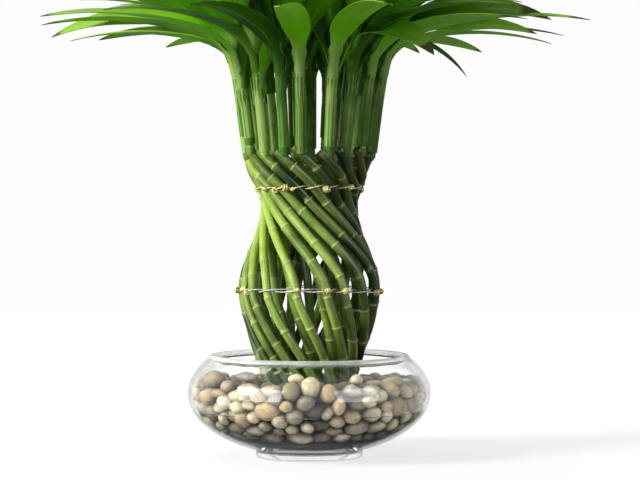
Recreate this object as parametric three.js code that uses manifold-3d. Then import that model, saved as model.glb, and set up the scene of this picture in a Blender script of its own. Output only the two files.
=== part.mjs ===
// Lucky bamboo: a ring of cut canes trained into a twisted vase shape, standing in a squat glass bowl of
// river stones and water. Each cane carries one leafy shoot, and two turns of wire hold the ring together.
// Millimetres, +Z up, origin at the centre of the bowl's foot. Angles, in degrees, run from the front (-Y)
// towards +X.
import * as THREE from 'three';
import { mergeVertices } from 'three/addons/utils/BufferGeometryUtils.js';
import Module from 'manifold-3d';

const wasm = await Module();
wasm.setup();

// Clearance between pieces that touch, and the distance under which two corners become one.
const GAP = 0.3;
const WELD = 0.001;

// The bowl is a squashed ball on a short foot, cut open at the rim. Its stations are the heights of its
// sections.
const BOWL = { footRadius: 44, footEdge: 1, footHeight: 4, neckRadius: 45.5, neckHeight: 6.5,
  bellyRadius: 100, bellyHeight: 52, rimRadius: 79.5, height: 84, wall: 3, lip: 1.2, floor: 8, sides: 30,
  stations: [11, 18, 28, 40, 54, 68] };
const WATER = { level: 40, thickness: 1.5 };

// The bed of stones: rows of stones against the glass and rings of them on top, round one solid core.
const BED = { top: 54, coreInset: 11.5, pitch: 31, rowHeights: [25, 45],
  topRings: [{ radius: 73, rise: 4 }, { radius: 48, rise: 5 }, { radius: 19, rise: 5 }] };
const STONE = { radius: 13, length: 1.12, width: 1, height: 0.8, unevenness: 0.13, tilt: 0.35, shift: 0.12,
  lift: 2 };

// The ring of canes, by height: its radius, and how far each cane has turned round the axis there. The two
// powers say how the turn gathers away from the belt, where the canes stand straight up.
const RING = {
  foot: { height: 12, radius: 26, turn: 86 },
  belt: { height: 137.5, radius: 54.8, turn: 0 },
  waist: { height: 206.5, radius: 36.4, turn: -65 },
  crown: { height: 251, radius: 51.6, turn: -121 },
  flareBelow: 0.9, turnBelow: 1.35, turnAbove: 1.7, firstAngle: -10,
};

// How far each cane stands off its even place at the belt, in degrees. Less of it is left at the foot, and
// none at the waist, where the canes press together.
const UNEVEN = [-1, 5, 1, 2, 6, 1, -4, 2, -3, 4, 1, -5, 2, -2, 4, -1, -6, -8];
const UNEVEN_AT_FOOT = 0.25;

const CANE = { count: UNEVEN.length, radius: 3.6, radiusSpread: 0.04, sides: 6, topSpread: 2.2, topWave: 2.4,
  soilHeights: [22, 75], firstRing: 80, ringSpacing: 27, ringSpread: 0.1, ringClear: 8, ringSwell: 1.13,
  ringWaist: 0.97, ringStep: 3 };

// A shoot rises from the side of its cane's cut end, leans outwards and ends in a rolled young leaf.
const SHOOT = { radius: 4.1, sides: 5, rootDrop: 5.5, collarHeight: 14, collarSwell: 1.08, lean: 0.125,
  flare: 12, leafStart: 312, leafStep: 10.5, top: 376, topShare: 0.7, spearTip: 472 };

// The leaves of a shoot from the lowest up: angle from straight outwards, lift of the blade's middle, droop
// from there to the tip, length and greatest width. The last one points inwards on every other shoot.
const LEAVES = [
  { aim: 0, lift: 19, droop: 31, length: 180, width: 25 },
  { aim: 33, lift: 31, droop: 36, length: 172, width: 25 },
  { aim: -33, lift: 43, droop: 40, length: 165, width: 24 },
  { aim: 8, lift: 57, droop: 42, length: 150, width: 22 },
  { aim: -18, lift: 72, droop: 34, length: 128, width: 17 },
];
const INWARD_LEAF = { aim: 180, lift: 66, droop: 22, length: 108, width: 15 };
const SPREAD = { start: 2, aim: 4.7, sweep: 9, lift: 2, length: 0.08, roll: 24 };

// A blade climbs beside the stem, bends away from it and is folded along its rib, most of all at its root.
// Its stations are the shares of its length where it has a section.
const BLADE = { rise: 66, bend: 30, droopPower: 1.3, thickness: 1.2, rootWidth: 3.6, rootFold: 48, fold: 13,
  unfolded: 0.35, widened: 0.3, shapePower: 0.75, steps: 40, stations: [0, 0.16, 0.36, 0.6, 0.83] };

const WIRE = { radius: 0.8, sides: 3, stepsPerCane: 3, dip: 0.12, wave: 0.8 };
const TIES = { tie_lower: 137.5, tie_upper: 221 };

// What a repeatable draw is for.
const DRAW = { caneRadius: 1, firstRing: 2, ringGap: 3, stoneSize: 4, stoneTurn: 5, stoneShift: 6,
  stoneLift: 7, leafStart: 8, leafAim: 9, leafSweep: 10, leafLift: 11, leafLength: 12, leafRoll: 13 };

const { degToRad, radToDeg, lerp, clamp, smoothstep } = THREE.MathUtils;
const ease = (t) => (1 - Math.cos(Math.PI * clamp(t, 0, 1))) / 2;

/** A repeatable number from -1 to 1 for two indices and what it is for. */
function draw(topic, i, j = 0) {
  const v = Math.sin(i * 12.9898 + j * 78.233 + topic * 37.719) * 43758.5453;
  return 2 * (v - Math.floor(v)) - 1;
}

/** The point at an angle from the front, a distance from the axis and a height. */
function around(degrees, radius, height) {
  const angle = degToRad(degrees);
  return new THREE.Vector3(radius * Math.sin(angle), -radius * Math.cos(angle), height);
}

/** The angle from the front at which a point stands. */
const angleOf = (point) => radToDeg(Math.atan2(point.x, -point.y));

/**
 * A closed skin over rings of points. It ends in flat caps or in a tip, or runs round into its own start.
 * A thin skin is split from the even points of one ring to the odd ones of the next on both of its sides,
 * so that a twist never makes them cross.
 */
function skin(rings, { endless = false, tip = null, thin = false } = {}) {
  const count = rings[0].length;
  const points = rings.flat();
  const faces = [];
  const spans = endless ? rings.length : rings.length - 1;
  for (let span = 0; span < spans; span++) {
    const a = span * count;
    const b = ((span + 1) % rings.length) * count;
    for (let j = 0; j < count; j++) {
      const k = (j + 1) % count;
      if (thin && j % 2 === 1) faces.push([a + j, a + k, b + j], [a + k, b + k, b + j]);
      else faces.push([a + j, a + k, b + k], [a + j, b + k, b + j]);
    }
  }
  const last = (rings.length - 1) * count;
  for (let j = 1; j < count - 1 && !endless; j++) {
    faces.push([0, j + 1, j]);
    if (!tip) faces.push([last, last + j, last + j + 1]);
  }
  if (tip) {
    points.push(tip);
    for (let j = 0; j < count; j++) faces.push([last + j, last + (j + 1) % count, points.length - 1]);
  }
  return new THREE.BufferGeometry().setFromPoints(points).setIndex(faces.flat());
}

/** A many-sided section of a tube, square to a direction, with its corners counted from the outer side. */
function hoop(centre, direction, radius, sides) {
  const along = direction.clone().normalize();
  const side = along.clone().cross(new THREE.Vector3(centre.x, centre.y, 0)).normalize();
  const out = side.clone().cross(along);
  return Array.from({ length: sides }, (_, j) => {
    const angle = (2 * Math.PI * j) / sides;
    const corner = centre.clone().addScaledVector(out, radius * Math.cos(angle));
    return corner.addScaledVector(side, radius * Math.sin(angle));
  });
}

/** A three.js geometry as a manifold-3d solid. */
function solid(geometry) {
  const bare = geometry.clone();
  bare.deleteAttribute('normal');
  bare.deleteAttribute('uv');
  const merged = mergeVertices(bare, WELD);
  return new wasm.Manifold(new wasm.Mesh({ numProp: 3, vertProperties: merged.attributes.position.array,
    triVerts: new Uint32Array(merged.index.array) }));
}

/** A manifold-3d solid as a three.js geometry. */
function geometryOf(body) {
  const mesh = body.getMesh();
  const geometry = new THREE.BufferGeometry();
  geometry.setAttribute('position', new THREE.BufferAttribute(new Float32Array(mesh.vertProperties), 3));
  geometry.setIndex(new THREE.BufferAttribute(new Uint32Array(mesh.triVerts), 1));
  geometry.computeVertexNormals();
  return geometry;
}

/** The largest single body of a solid, without loose scraps and sealed pockets. */
function heart(body) {
  const bodies = solid(geometryOf(body)).decompose();
  return bodies.sort((a, b) => b.volume() - a.volume())[0];
}

/** A body turned about +Z from a profile of [radius, height] points that starts and ends on the axis. */
function turned(profile) {
  const points = profile.map(([r, z]) => new THREE.Vector2(r, z));
  return new THREE.LatheGeometry(points, BOWL.sides).rotateX(Math.PI / 2);
}

/** Radius at a height of the squashed ball that lies an inset inside the bowl's outer surface. */
function ballRadius(height, inset = 0) {
  const upper = height > BOWL.bellyHeight;
  const end = (upper ? BOWL.rimRadius : BOWL.neckRadius) / BOWL.bellyRadius;
  const reach = upper ? BOWL.height - BOWL.bellyHeight : BOWL.bellyHeight - BOWL.neckHeight;
  const share = (height - BOWL.bellyHeight) / (reach / Math.sqrt(1 - end * end) - inset);
  return (BOWL.bellyRadius - inset) * Math.sqrt(Math.max(0, 1 - share * share));
}

/** Profile points up that ball between two heights, at the bowl's own stations. */
function ballProfile(inset, from, to) {
  const between = BOWL.stations.filter((z) => z > from + BOWL.footEdge && z < to - BOWL.footEdge);
  return [from, ...between, to].map((z) => [ballRadius(z, inset), z]);
}

function bowlGeometry() {
  const foot = [[0, 0], [BOWL.footRadius - BOWL.footEdge, 0], [BOWL.footRadius, BOWL.footEdge],
    [BOWL.footRadius, BOWL.footHeight]];
  const shoulder = BOWL.height - BOWL.wall / 2;
  const crest = ballRadius(shoulder) - BOWL.wall / 2;
  const outside = ballProfile(0, BOWL.neckHeight, shoulder);
  const inside = ballProfile(BOWL.wall, BOWL.floor, shoulder).reverse();
  const lip = [[crest + BOWL.lip / 2, BOWL.height], [crest - BOWL.lip / 2, BOWL.height]];
  return turned([...foot, ...outside, ...lip, ...inside, [0, BOWL.floor]]);
}

/** The water between the glass and the stones, with its level below the top of the bed. */
function waterGeometry() {
  const under = BOWL.floor + GAP;
  const over = under + WATER.thickness;
  const outer = ballProfile(BOWL.wall + GAP, under, WATER.level);
  const inner = ballProfile(BOWL.wall + GAP + WATER.thickness, over, WATER.level).reverse();
  return turned([[0, under], ...outer, ...inner, [0, over]]);
}

/** One river stone: a ball with flat facets, longer than it is wide and lower again, turned and tilted. */
function stoneSolid(index, centre) {
  const ball = new THREE.IcosahedronGeometry(STONE.radius, 0);
  const size = [STONE.length, STONE.width, STONE.height].map((share, axis) => (
    share * (1 + STONE.unevenness * draw(DRAW.stoneSize, index, axis))));
  ball.scale(...size);
  ball.rotateZ(Math.PI * draw(DRAW.stoneTurn, index, 0));
  ball.rotateX(STONE.tilt * draw(DRAW.stoneTurn, index, 1));
  ball.translate(centre.x, centre.y, centre.z);
  return solid(ball);
}

/** The middles of the stones that show: rows against the glass, then rings over the top of the bed. */
function stonePlaces() {
  const places = [];
  const row = (radius, height, phase) => {
    const count = Math.round((2 * Math.PI * radius) / BED.pitch);
    for (let i = 0; i < count; i++) {
      const shift = phase + STONE.shift * draw(DRAW.stoneShift, places.length);
      const lift = STONE.lift * draw(DRAW.stoneLift, places.length);
      places.push(around((360 / count) * (i + shift), radius, height + lift));
    }
  };
  const inset = BOWL.wall + WATER.thickness + 2 * GAP + STONE.radius;
  BED.rowHeights.forEach((height, n) => row(ballRadius(height, inset), height, n / 2));
  BED.topRings.forEach((ring, n) => row(ring.radius, BED.top + ring.rise, n / 2));
  return places;
}

/** The bed of stones, inside the water and the glass, with a plain hole for the foot of each cane. */
function bedSolid() {
  const under = BOWL.floor + WATER.thickness + 2 * GAP;
  const over = BED.top + 2 * STONE.radius;
  const core = solid(turned([[0, under], ...ballProfile(BED.coreInset, under, BED.top), [0, BED.top]]));
  const stones = stonePlaces().map((place, index) => stoneSolid(index, place));
  const inset = BOWL.wall + WATER.thickness + 2 * GAP;
  const room = solid(turned([[0, under], ...ballProfile(inset, under, over), [0, over]]));
  let bed = wasm.Manifold.union([core, ...stones]).intersect(room);
  for (let i = 0; i < CANE.count; i++) bed = bed.subtract(footHole(i));
  return heart(bed);
}

/** The radius of the ring of canes at a height, and how far it has turned there. */
function ringAt(height) {
  const { foot, belt, waist, crown } = RING;
  if (height < belt.height) {
    const down = (belt.height - height) / (belt.height - foot.height);
    const radius = lerp(belt.radius, foot.radius, ease(Math.pow(down, RING.flareBelow)));
    return { radius, turn: foot.turn * Math.pow(down, RING.turnBelow) };
  }
  if (height < waist.height) {
    const up = (height - belt.height) / (waist.height - belt.height);
    const radius = lerp(belt.radius, waist.radius, ease(up));
    return { radius, turn: waist.turn * Math.pow(up, RING.turnAbove) };
  }
  const up = (height - waist.height) / (crown.height - waist.height);
  return { radius: lerp(waist.radius, crown.radius, ease(up)), turn: lerp(waist.turn, crown.turn, up) };
}

/** A point on the centreline of cane i. */
function canePoint(i, height) {
  const { radius, turn } = ringAt(height);
  const { foot, belt, waist } = RING;
  const up = (height - belt.height) / (waist.height - belt.height);
  const down = (belt.height - height) / (belt.height - foot.height);
  const loose = up > 0 ? 1 - ease(up) : lerp(1, UNEVEN_AT_FOOT, ease(down));
  return around(RING.firstAngle + (360 / CANE.count) * i + UNEVEN[i] * loose + turn, radius, height);
}

/** The direction of cane i at a height. */
const caneDirection = (i, height) => canePoint(i, height + GAP).sub(canePoint(i, height - GAP));

/** The height at which cane i is cut off. */
const caneTop = (i) => RING.crown.height + CANE.topSpread * Math.sin(CANE.topWave * i);

/** Heights of the growth rings of cane i above the stones. */
function growthRings(i) {
  const heights = [];
  let height = CANE.firstRing + (CANE.ringSpacing * (1 + draw(DRAW.firstRing, i))) / 2;
  while (height < caneTop(i) - CANE.ringClear) {
    heights.push(height);
    height += CANE.ringSpacing * (1 + CANE.ringSpread * draw(DRAW.ringGap, i, heights.length));
  }
  return heights;
}

/** Cane i: one tube that swells and narrows at each growth ring. */
function caneGeometry(i, grow = 0) {
  const radius = CANE.radius * (1 + CANE.radiusSpread * draw(DRAW.caneRadius, i));
  const sections = CANE.soilHeights.map((z) => [z, radius]);
  for (const z of growthRings(i)) {
    sections.push([z, radius * CANE.ringSwell], [z + CANE.ringStep, radius * CANE.ringWaist]);
  }
  sections.push([caneTop(i), radius]);
  return skin(sections.map(([z, size]) => (
    hoop(canePoint(i, z), caneDirection(i, z), size + grow, CANE.sides))));
}

/** The hole for the foot of cane i in the bed of stones. */
function footHole(i) {
  const radius = CANE.radius * CANE.ringSwell + GAP;
  const rings = CANE.soilHeights.map((z) => hoop(canePoint(i, z), caneDirection(i, z), radius, CANE.sides));
  const deeper = caneDirection(i, CANE.soilHeights[0]).setLength(-1);
  rings[0].forEach((point) => point.add(deeper));
  return solid(skin(rings));
}

/** A point on the centreline of shoot i. */
function shootPoint(i, height) {
  const root = canePoint(i, caneTop(i) - SHOOT.rootDrop);
  const rise = (height - root.z) / (SHOOT.top - root.z);
  const flared = SHOOT.flare * Math.pow(rise, 4);
  const reach = Math.hypot(root.x, root.y) + SHOOT.lean * (height - root.z) + flared;
  return new THREE.Vector3(root.x, root.y, 0).setLength(reach).setZ(height);
}

/** The leaf at place k of shoot i. */
const leafAt = (i, k) => (k === LEAVES.length - 1 && i % 2 === 0 ? INWARD_LEAF : LEAVES[k]);

/** Half the width of a blade at a share of its length: narrow at the stem and widest at two fifths. */
function halfWidth(leaf, t) {
  const blade = Math.sin(Math.PI * Math.pow(t, BLADE.shapePower)) * smoothstep(t, 0, BLADE.widened);
  return Math.max(leaf.width * blade, BLADE.rootWidth * (1 - t)) / 2;
}

/** The middle line of leaf k of shoot i: at each step its place and its sideways and upward directions. */
function leafPath(i, k) {
  const leaf = leafAt(i, k);
  const start = SHOOT.leafStart + SHOOT.leafStep * k + SPREAD.start * draw(DRAW.leafStart, i, k);
  const at = shootPoint(i, start);
  const aim = angleOf(at) + leaf.aim + SPREAD.aim * draw(DRAW.leafAim, i, k);
  const sweep = SPREAD.sweep * draw(DRAW.leafSweep, i, k);
  const lift = leaf.lift + SPREAD.lift * draw(DRAW.leafLift, i, k);
  const length = leaf.length * (1 + SPREAD.length * draw(DRAW.leafLength, i, k));
  const roll = SPREAD.roll * draw(DRAW.leafRoll, i, k);
  const path = [];
  for (let n = 0; n <= BLADE.steps; n++) {
    const t = n / BLADE.steps;
    const beside = Math.exp(-Math.pow((t * length) / BLADE.bend, 2));
    const climb = lift - leaf.droop * Math.pow(t, BLADE.droopPower) + Math.max(0, BLADE.rise - lift) * beside;
    const along = around(aim + sweep * t, Math.cos(degToRad(climb)), Math.sin(degToRad(climb)));
    const level = new THREE.Vector3(0, 0, 1).cross(along).normalize();
    const across = level.applyAxisAngle(along, degToRad(roll * t));
    path.push({ t, at: at.clone(), across, up: along.clone().cross(across) });
    at.addScaledVector(along, length / BLADE.steps);
  }
  return path;
}

/** One blade: each section has two edges, raised by the fold, and the top and underside of the rib. */
function leafSolid(i, k) {
  const path = leafPath(i, k);
  const sections = BLADE.stations.map((share) => {
    const { t, at, across, up } = path[Math.round(share * BLADE.steps)];
    const fold = degToRad(lerp(BLADE.rootFold, BLADE.fold, smoothstep(t, 0, BLADE.unfolded)));
    const half = halfWidth(leafAt(i, k), t);
    const edge = (side) => at.clone().addScaledVector(across, side * half * Math.cos(fold))
      .addScaledVector(up, half * Math.sin(fold));
    const rib = (side) => at.clone().addScaledVector(up, (side * BLADE.thickness) / 2);
    return [edge(1), rib(1), edge(-1), rib(-1)];
  });
  return solid(skin(sections, { tip: path[BLADE.steps].at, thin: true }));
}

/** The stem of shoot i, drawn out into the rolled spear of its youngest leaf. */
function stemSolid(i) {
  const root = caneTop(i) - SHOOT.rootDrop;
  const sections = [[root, 1], [root + SHOOT.collarHeight, SHOOT.collarSwell], [SHOOT.leafStart, 1],
    [SHOOT.top, SHOOT.topShare]];
  const direction = (z) => shootPoint(i, z + GAP).sub(shootPoint(i, z - GAP)).normalize();
  const tip = shootPoint(i, SHOOT.top).addScaledVector(direction(SHOOT.top), SHOOT.spearTip - SHOOT.top);
  return solid(skin(sections.map(([z, share]) => (
    hoop(shootPoint(i, z), direction(z), SHOOT.radius * share, SHOOT.sides))), { tip }));
}

/** A shoot in one piece with its leaves, cut clear of the cane that it grows from. */
function shootSolid(i) {
  const leaves = LEAVES.map((_, k) => leafSolid(i, k));
  return heart(wasm.Manifold.union([stemSolid(i), ...leaves]).subtract(solid(caneGeometry(i, GAP))));
}

/** A wire that goes round the outside of every cane at a height and dips in between them. */
function tieGeometry(height) {
  const steps = CANE.count * WIRE.stepsPerCane;
  const flare = (ringAt(height + 1).radius - ringAt(height - 1).radius) / 2;
  const cane = CANE.radius * (1 + CANE.radiusSpread) * CANE.ringSwell * Math.hypot(1, flare);
  const clear = cane + GAP + WIRE.radius * Math.cos(Math.PI / WIRE.sides);
  const path = Array.from({ length: steps }, (_, n) => {
    const i = Math.floor(n / WIRE.stepsPerCane);
    const share = n / WIRE.stepsPerCane - i;
    const here = canePoint(i, height);
    const next = canePoint((i + 1) % CANE.count, height);
    const bow = 1 + WIRE.dip * (1 - Math.cos(2 * Math.PI * share));
    const reach = Math.hypot(here.x, here.y) + clear * bow;
    const wave = WIRE.wave * Math.sin((2 * Math.PI * n) / steps);
    return here.lerp(next, share).setZ(0).setLength(reach).setZ(height + wave);
  });
  const sections = path.map((point, n) => {
    const direction = path[(n + 1) % steps].clone().sub(path[(n + steps - 1) % steps]);
    return hoop(point, direction, WIRE.radius, WIRE.sides);
  });
  return skin(sections, { endless: true });
}

const finish = (color, roughness, others = {}) => (
  new THREE.MeshStandardMaterial({ color, roughness, metalness: 0, ...others }));
const FINISHES = {
  glass: finish(0xeef4f2, 0.05, { transparent: true, opacity: 0.3 }),
  water: finish(0xdfeeea, 0.03, { transparent: true, opacity: 0.35 }),
  stones: finish(0xb9a383, 0.6),
  cane: finish(0x6f9a33, 0.42),
  leaf: finish(0x2f6b1c, 0.38),
  wire: finish(0xc9b26a, 0.35, { metalness: 0.9 }),
};

const luckyBamboo = new THREE.Group();

/** Adds one piece to the plant under its own name. */
function add(name, geometry, material) {
  const mesh = new THREE.Mesh(geometry, material);
  mesh.name = name;
  luckyBamboo.add(mesh);
}

add('bowl', bowlGeometry(), FINISHES.glass);
add('water', waterGeometry(), FINISHES.water);
add('stone_bed', geometryOf(bedSolid()), FINISHES.stones);
for (let i = 0; i < CANE.count; i++) {
  const number = String(i + 1).padStart(2, '0');
  add(`cane_${number}`, caneGeometry(i), FINISHES.cane);
  add(`shoot_${number}`, geometryOf(shootSolid(i)), FINISHES.leaf);
}
for (const [name, height] of Object.entries(TIES)) add(name, tieGeometry(height), FINISHES.wire);

export default luckyBamboo;
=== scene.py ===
"""The looks of a lucky bamboo arrangement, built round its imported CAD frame.

Eighteen cut canes are trained into a twisted ring and stand in a squat glass bowl of river
stones and water. Every cane carries one leafy shoot, and two wires hold the ring together.

Sizes are in metres, +Z is up and the origin is the centre of the bowl's foot. Angles are in
degrees and run from the front (-Y) towards +X.
"""

import logging
import math
from collections.abc import Iterator, Sequence
from contextlib import contextmanager
from dataclasses import dataclass, field
from enum import Enum

import bmesh
import bpy
import numpy as np
from mathutils import Matrix, Vector

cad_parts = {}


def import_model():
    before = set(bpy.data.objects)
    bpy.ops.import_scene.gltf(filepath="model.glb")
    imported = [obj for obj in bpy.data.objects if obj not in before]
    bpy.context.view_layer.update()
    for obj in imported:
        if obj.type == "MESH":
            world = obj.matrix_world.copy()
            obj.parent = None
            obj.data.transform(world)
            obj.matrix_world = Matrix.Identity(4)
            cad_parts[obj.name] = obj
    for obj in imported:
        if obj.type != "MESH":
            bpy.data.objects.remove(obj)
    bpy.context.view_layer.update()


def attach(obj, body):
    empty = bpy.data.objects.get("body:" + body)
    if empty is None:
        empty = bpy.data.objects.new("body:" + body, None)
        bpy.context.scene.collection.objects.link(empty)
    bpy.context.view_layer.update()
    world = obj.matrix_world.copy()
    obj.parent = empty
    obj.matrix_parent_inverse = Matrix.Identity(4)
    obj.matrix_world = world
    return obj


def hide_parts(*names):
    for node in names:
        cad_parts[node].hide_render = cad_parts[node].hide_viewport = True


LOG = logging.getLogger("lucky_bamboo")
BODY = "root"

Array = np.ndarray
Line = Sequence[Vector]
Material = bpy.types.Material
Piece = bpy.types.Object
Socket = bpy.types.NodeSocket
Colour = tuple[float, float, float]
Profile = Sequence[tuple[float, float]]


class Topic(Enum):
    """What a repeatable draw is for. The first ones are those of the frame's own plan."""

    CANE_RADIUS = 1
    FIRST_RING = 2
    RING_GAP = 3
    LEAF_START = 8
    LEAF_AIM = 9
    LEAF_SWEEP = 10
    LEAF_LIFT = 11
    LEAF_LENGTH = 12
    LEAF_ROLL = 13
    TONE = 14
    DRYNESS = 15
    FORM = 16
    KNOT = 18


# Small tools


def draw(topic: Topic, i: int, j: int = 0) -> float:
    """Draw a repeatable number.

    Args:
        topic: What the number is for.
        i: Which cane or shoot it belongs to.
        j: Which ring, leaf or other part of that one.

    Returns:
        A number from -1 to 1, the same one in every run and in the frame's plan.
    """
    value = math.sin(i * 12.9898 + j * 78.233 + topic.value * 37.719) * 43758.5453
    return 2 * (value - math.floor(value)) - 1


def share(topic: Topic, i: int, j: int = 0) -> float:
    """Return the same draw as a number from 0 to 1."""
    return (1 + draw(topic, i, j)) / 2


def lerp(start: float, end: float, t: float) -> float:
    """Return the number a share t of the way from start to end."""
    return start + (end - start) * t


def ease(t: float) -> float:
    """Return a share from 0 to 1 that starts and ends gently."""
    return (1 - math.cos(math.pi * min(max(t, 0.0), 1.0))) / 2


def smoothstep(t: float, end: float) -> float:
    """Return how far t is on its way from 0 to end, eased at both ends."""
    x = min(max(t / end, 0.0), 1.0)
    return x * x * (3 - 2 * x)


def around(degrees: float, radius: float, height: float) -> Vector:
    """Return the point at an angle from the front, a distance from the axis and a height."""
    angle = math.radians(degrees)
    return Vector((radius * math.sin(angle), -radius * math.cos(angle), height))


def angle_of(point: Vector) -> float:
    """Return the angle from the front at which a point stands."""
    return math.degrees(math.atan2(point.x, -point.y))


def screen(red: int, green: int, blue: int) -> Colour:
    """Return the linear colour of a screen colour given as three numbers up to 255."""
    return tuple(
        c / 12.92 if c <= 0.04045 else ((c + 0.055) / 1.055) ** 2.4
        for c in (red / 255, green / 255, blue / 255)
    )


def deselect() -> None:
    """Deselect every piece."""
    bpy.ops.object.select_all(action="DESELECT")


def activate(obj: Piece) -> None:
    """Make a piece the active one and the only one that is selected."""
    deselect()
    obj.select_set(True)
    bpy.context.view_layer.objects.active = obj


def place_new(name: str, data: bpy.types.ID) -> Piece:
    """Put a new object with its data into the scene."""
    obj = bpy.data.objects.new(name, data)
    bpy.context.scene.collection.objects.link(obj)
    return obj


def curve_through(name: str, places: Line) -> bpy.types.Curve:
    """Return a curve that runs straight from place to place."""
    curve = bpy.data.curves.new(name, "CURVE")
    curve.dimensions = "3D"
    spline = curve.splines.new("POLY")
    spline.points.add(len(places) - 1)
    for point, place in zip(spline.points, places):
        point.co = (*place, 1)
    return curve


def apply_modifier(obj: Piece, name: str) -> None:
    """Make one modifier of a piece part of its mesh."""
    activate(obj)
    bpy.ops.object.modifier_apply(modifier=name)


@contextmanager
def editing(obj: Piece) -> Iterator[None]:
    """Open a piece in edit mode for the operators in a block, and close it again."""
    activate(obj)
    bpy.ops.object.mode_set(mode="EDIT")
    yield
    bpy.ops.object.mode_set(mode="OBJECT")


def named(name: str) -> Piece:
    """Give the piece that an operator has just made its name, and put its place in its mesh."""
    obj = bpy.context.object
    obj.name = name
    obj.data.name = name
    bpy.ops.object.transform_apply(location=True, rotation=True, scale=True)
    return obj


def draw_out(name: str, profile: Profile, sides: int, upright: bool = False) -> Piece:
    """Extrude a filled circle from station to station, as a potter pulls up a wall.

    Args:
        name: The piece's name.
        profile: Each station's place along the axis and its radius.
        sides: How many sides the circle has.
        upright: Whether the axis is +Z instead of +X.

    Returns:
        The closed piece.
    """
    axis = Vector((0, 0, 1)) if upright else Vector((1, 0, 0))
    along, radius = profile[0]
    deselect()
    bpy.ops.mesh.primitive_circle_add(
        vertices=sides,
        radius=radius,
        fill_type="NGON",
        location=axis * along,
        rotation=(0, 0, 0) if upright else (0, math.pi / 2, 0),
    )
    obj = named(name)
    with editing(obj):
        bpy.ops.mesh.select_all(action="SELECT")
        for place, size in profile[1:]:
            bpy.ops.mesh.extrude_region_move(
                TRANSFORM_OT_translate={"value": axis * (place - along)}
            )
            grown = size / radius
            bpy.ops.transform.resize(
                value=(grown, grown, 1) if upright else (1, grown, grown),
                center_override=axis * place,
            )
            along, radius = place, size
        bpy.ops.mesh.select_all(action="SELECT")
        bpy.ops.mesh.normals_make_consistent(inside=False)
    return obj


def bend_along(
    obj: Piece, path: Line, tilts: Sequence[float] = (), twist: str = "MINIMUM"
) -> None:
    """Bend a straight piece, modelled along +X, so that it follows a path.

    Args:
        obj: The straight piece.
        path: The points that it follows, from its start.
        tilts: How far it is rolled about the path at each point, in degrees.
        twist: How its sideways direction is carried along: "Z_UP" keeps it level.
    """
    curve = curve_through("guide", path)
    curve.twist_mode = twist
    for point, tilt in zip(curve.splines[0].points, tilts):
        point.tilt = math.radians(tilt)
    guide = place_new("guide", curve)
    bend = obj.modifiers.new("bend", "CURVE")
    bend.object = guide
    bend.deform_axis = "POS_X"
    apply_modifier(obj, bend.name)
    bpy.data.objects.remove(guide)
    bpy.data.curves.remove(curve)


def thicken(obj: Piece, thickness: float) -> None:
    """Turn a sheet into a thin closed solid whose far side takes the next material slot."""
    wall = obj.modifiers.new("wall", "SOLIDIFY")
    wall.thickness = thickness
    wall.offset = 0.0
    wall.material_offset = 1
    apply_modifier(obj, wall.name)


def smooth(obj: Piece, angle: float = 50) -> None:
    """Shade a piece smooth but for its edges sharper than an angle in degrees."""
    activate(obj)
    bpy.ops.object.shade_smooth_by_angle(angle=math.radians(angle))


def join(name: str, parts: Sequence[Piece]) -> Piece:
    """Join parts into the first of them, under one name."""
    deselect()
    for part in parts:
        part.select_set(True)
    bpy.context.view_layer.objects.active = parts[0]
    bpy.ops.object.join()
    parts[0].name = name
    parts[0].data.name = name
    return parts[0]


def copy_of(obj: Piece) -> Piece:
    """Copy a piece, with a mesh of its own."""
    twin = obj.copy()
    twin.data = obj.data.copy()
    bpy.context.scene.collection.objects.link(twin)
    return twin


def dress(obj: Piece, *finishes: Material) -> None:
    """Give a piece its finishes, one for each material slot."""
    for finish in finishes:
        obj.data.materials.append(finish)


def write_values(obj: Piece, name: str, values: Sequence[float] | float) -> None:
    """Keep one number for each point of a piece, or the same one for all, for its material."""
    count = len(obj.data.vertices)
    attribute = obj.data.attributes.new(name, "FLOAT", "POINT")
    numbers = np.broadcast_to(np.asarray(values, np.float32), (count,))
    attribute.data.foreach_set("value", np.ascontiguousarray(numbers))


def points_of(obj: Piece) -> Array:
    """Return the points of a piece as rows of x, y and z."""
    places = np.empty(len(obj.data.vertices) * 3, np.float32)
    obj.data.vertices.foreach_get("co", places)
    return places.reshape(-1, 3).astype(float)


def move_points(obj: Piece, places: Array) -> None:
    """Give the points of a piece their new places, as rows of x, y and z."""
    obj.data.vertices.foreach_set("co", places.astype(np.float32).ravel())


def distances(points: Line) -> list[float]:
    """Return how far along a line each of its points lies."""
    along = [0.0]
    for here, there in zip(points, points[1:]):
        along.append(along[-1] + (there - here).length)
    return along


def wrap_uv(obj: Piece, tile: float) -> None:
    """Lay a UV map on a piece drawn out along X: u runs round it and v along it.

    Args:
        obj: The straight piece.
        tile: The length along the piece for which v grows by one.
    """
    layer = obj.data.uv_layers.active or obj.data.uv_layers.new(name="UVMap")
    places = points_of(obj)
    turns = np.arctan2(places[:, 2], places[:, 1]) / (2 * math.pi) + 0.5
    for face in obj.data.polygons:
        corners = [turns[v] for v in face.vertices]
        high = max(corners) > 0.75 and min(corners) < 0.25
        for loop, vertex in zip(face.loop_indices, face.vertices):
            turn = turns[vertex]
            lifted = turn + 1 if high and turn < 0.5 else turn
            layer.data[loop].uv = (lifted, places[vertex, 0] / tile)


def numbered(node: str | None, i: int) -> list[str]:
    """Return the CAD node that copy i stands for, where it stands for one."""
    return [f"{node}_{i + 1:02d}"] if node else []


def hand_over(obj: Piece, nodes: Sequence[str] = ()) -> None:
    """Tell the frame about a finished piece.

    Args:
        obj: The piece.
        nodes: The CAD nodes that it stands for.
    """
    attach(obj, BODY)
    if nodes:
        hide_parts(*nodes)
    LOG.info("%s: %d faces", obj.name, len(obj.data.polygons))


# Finishes


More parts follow.
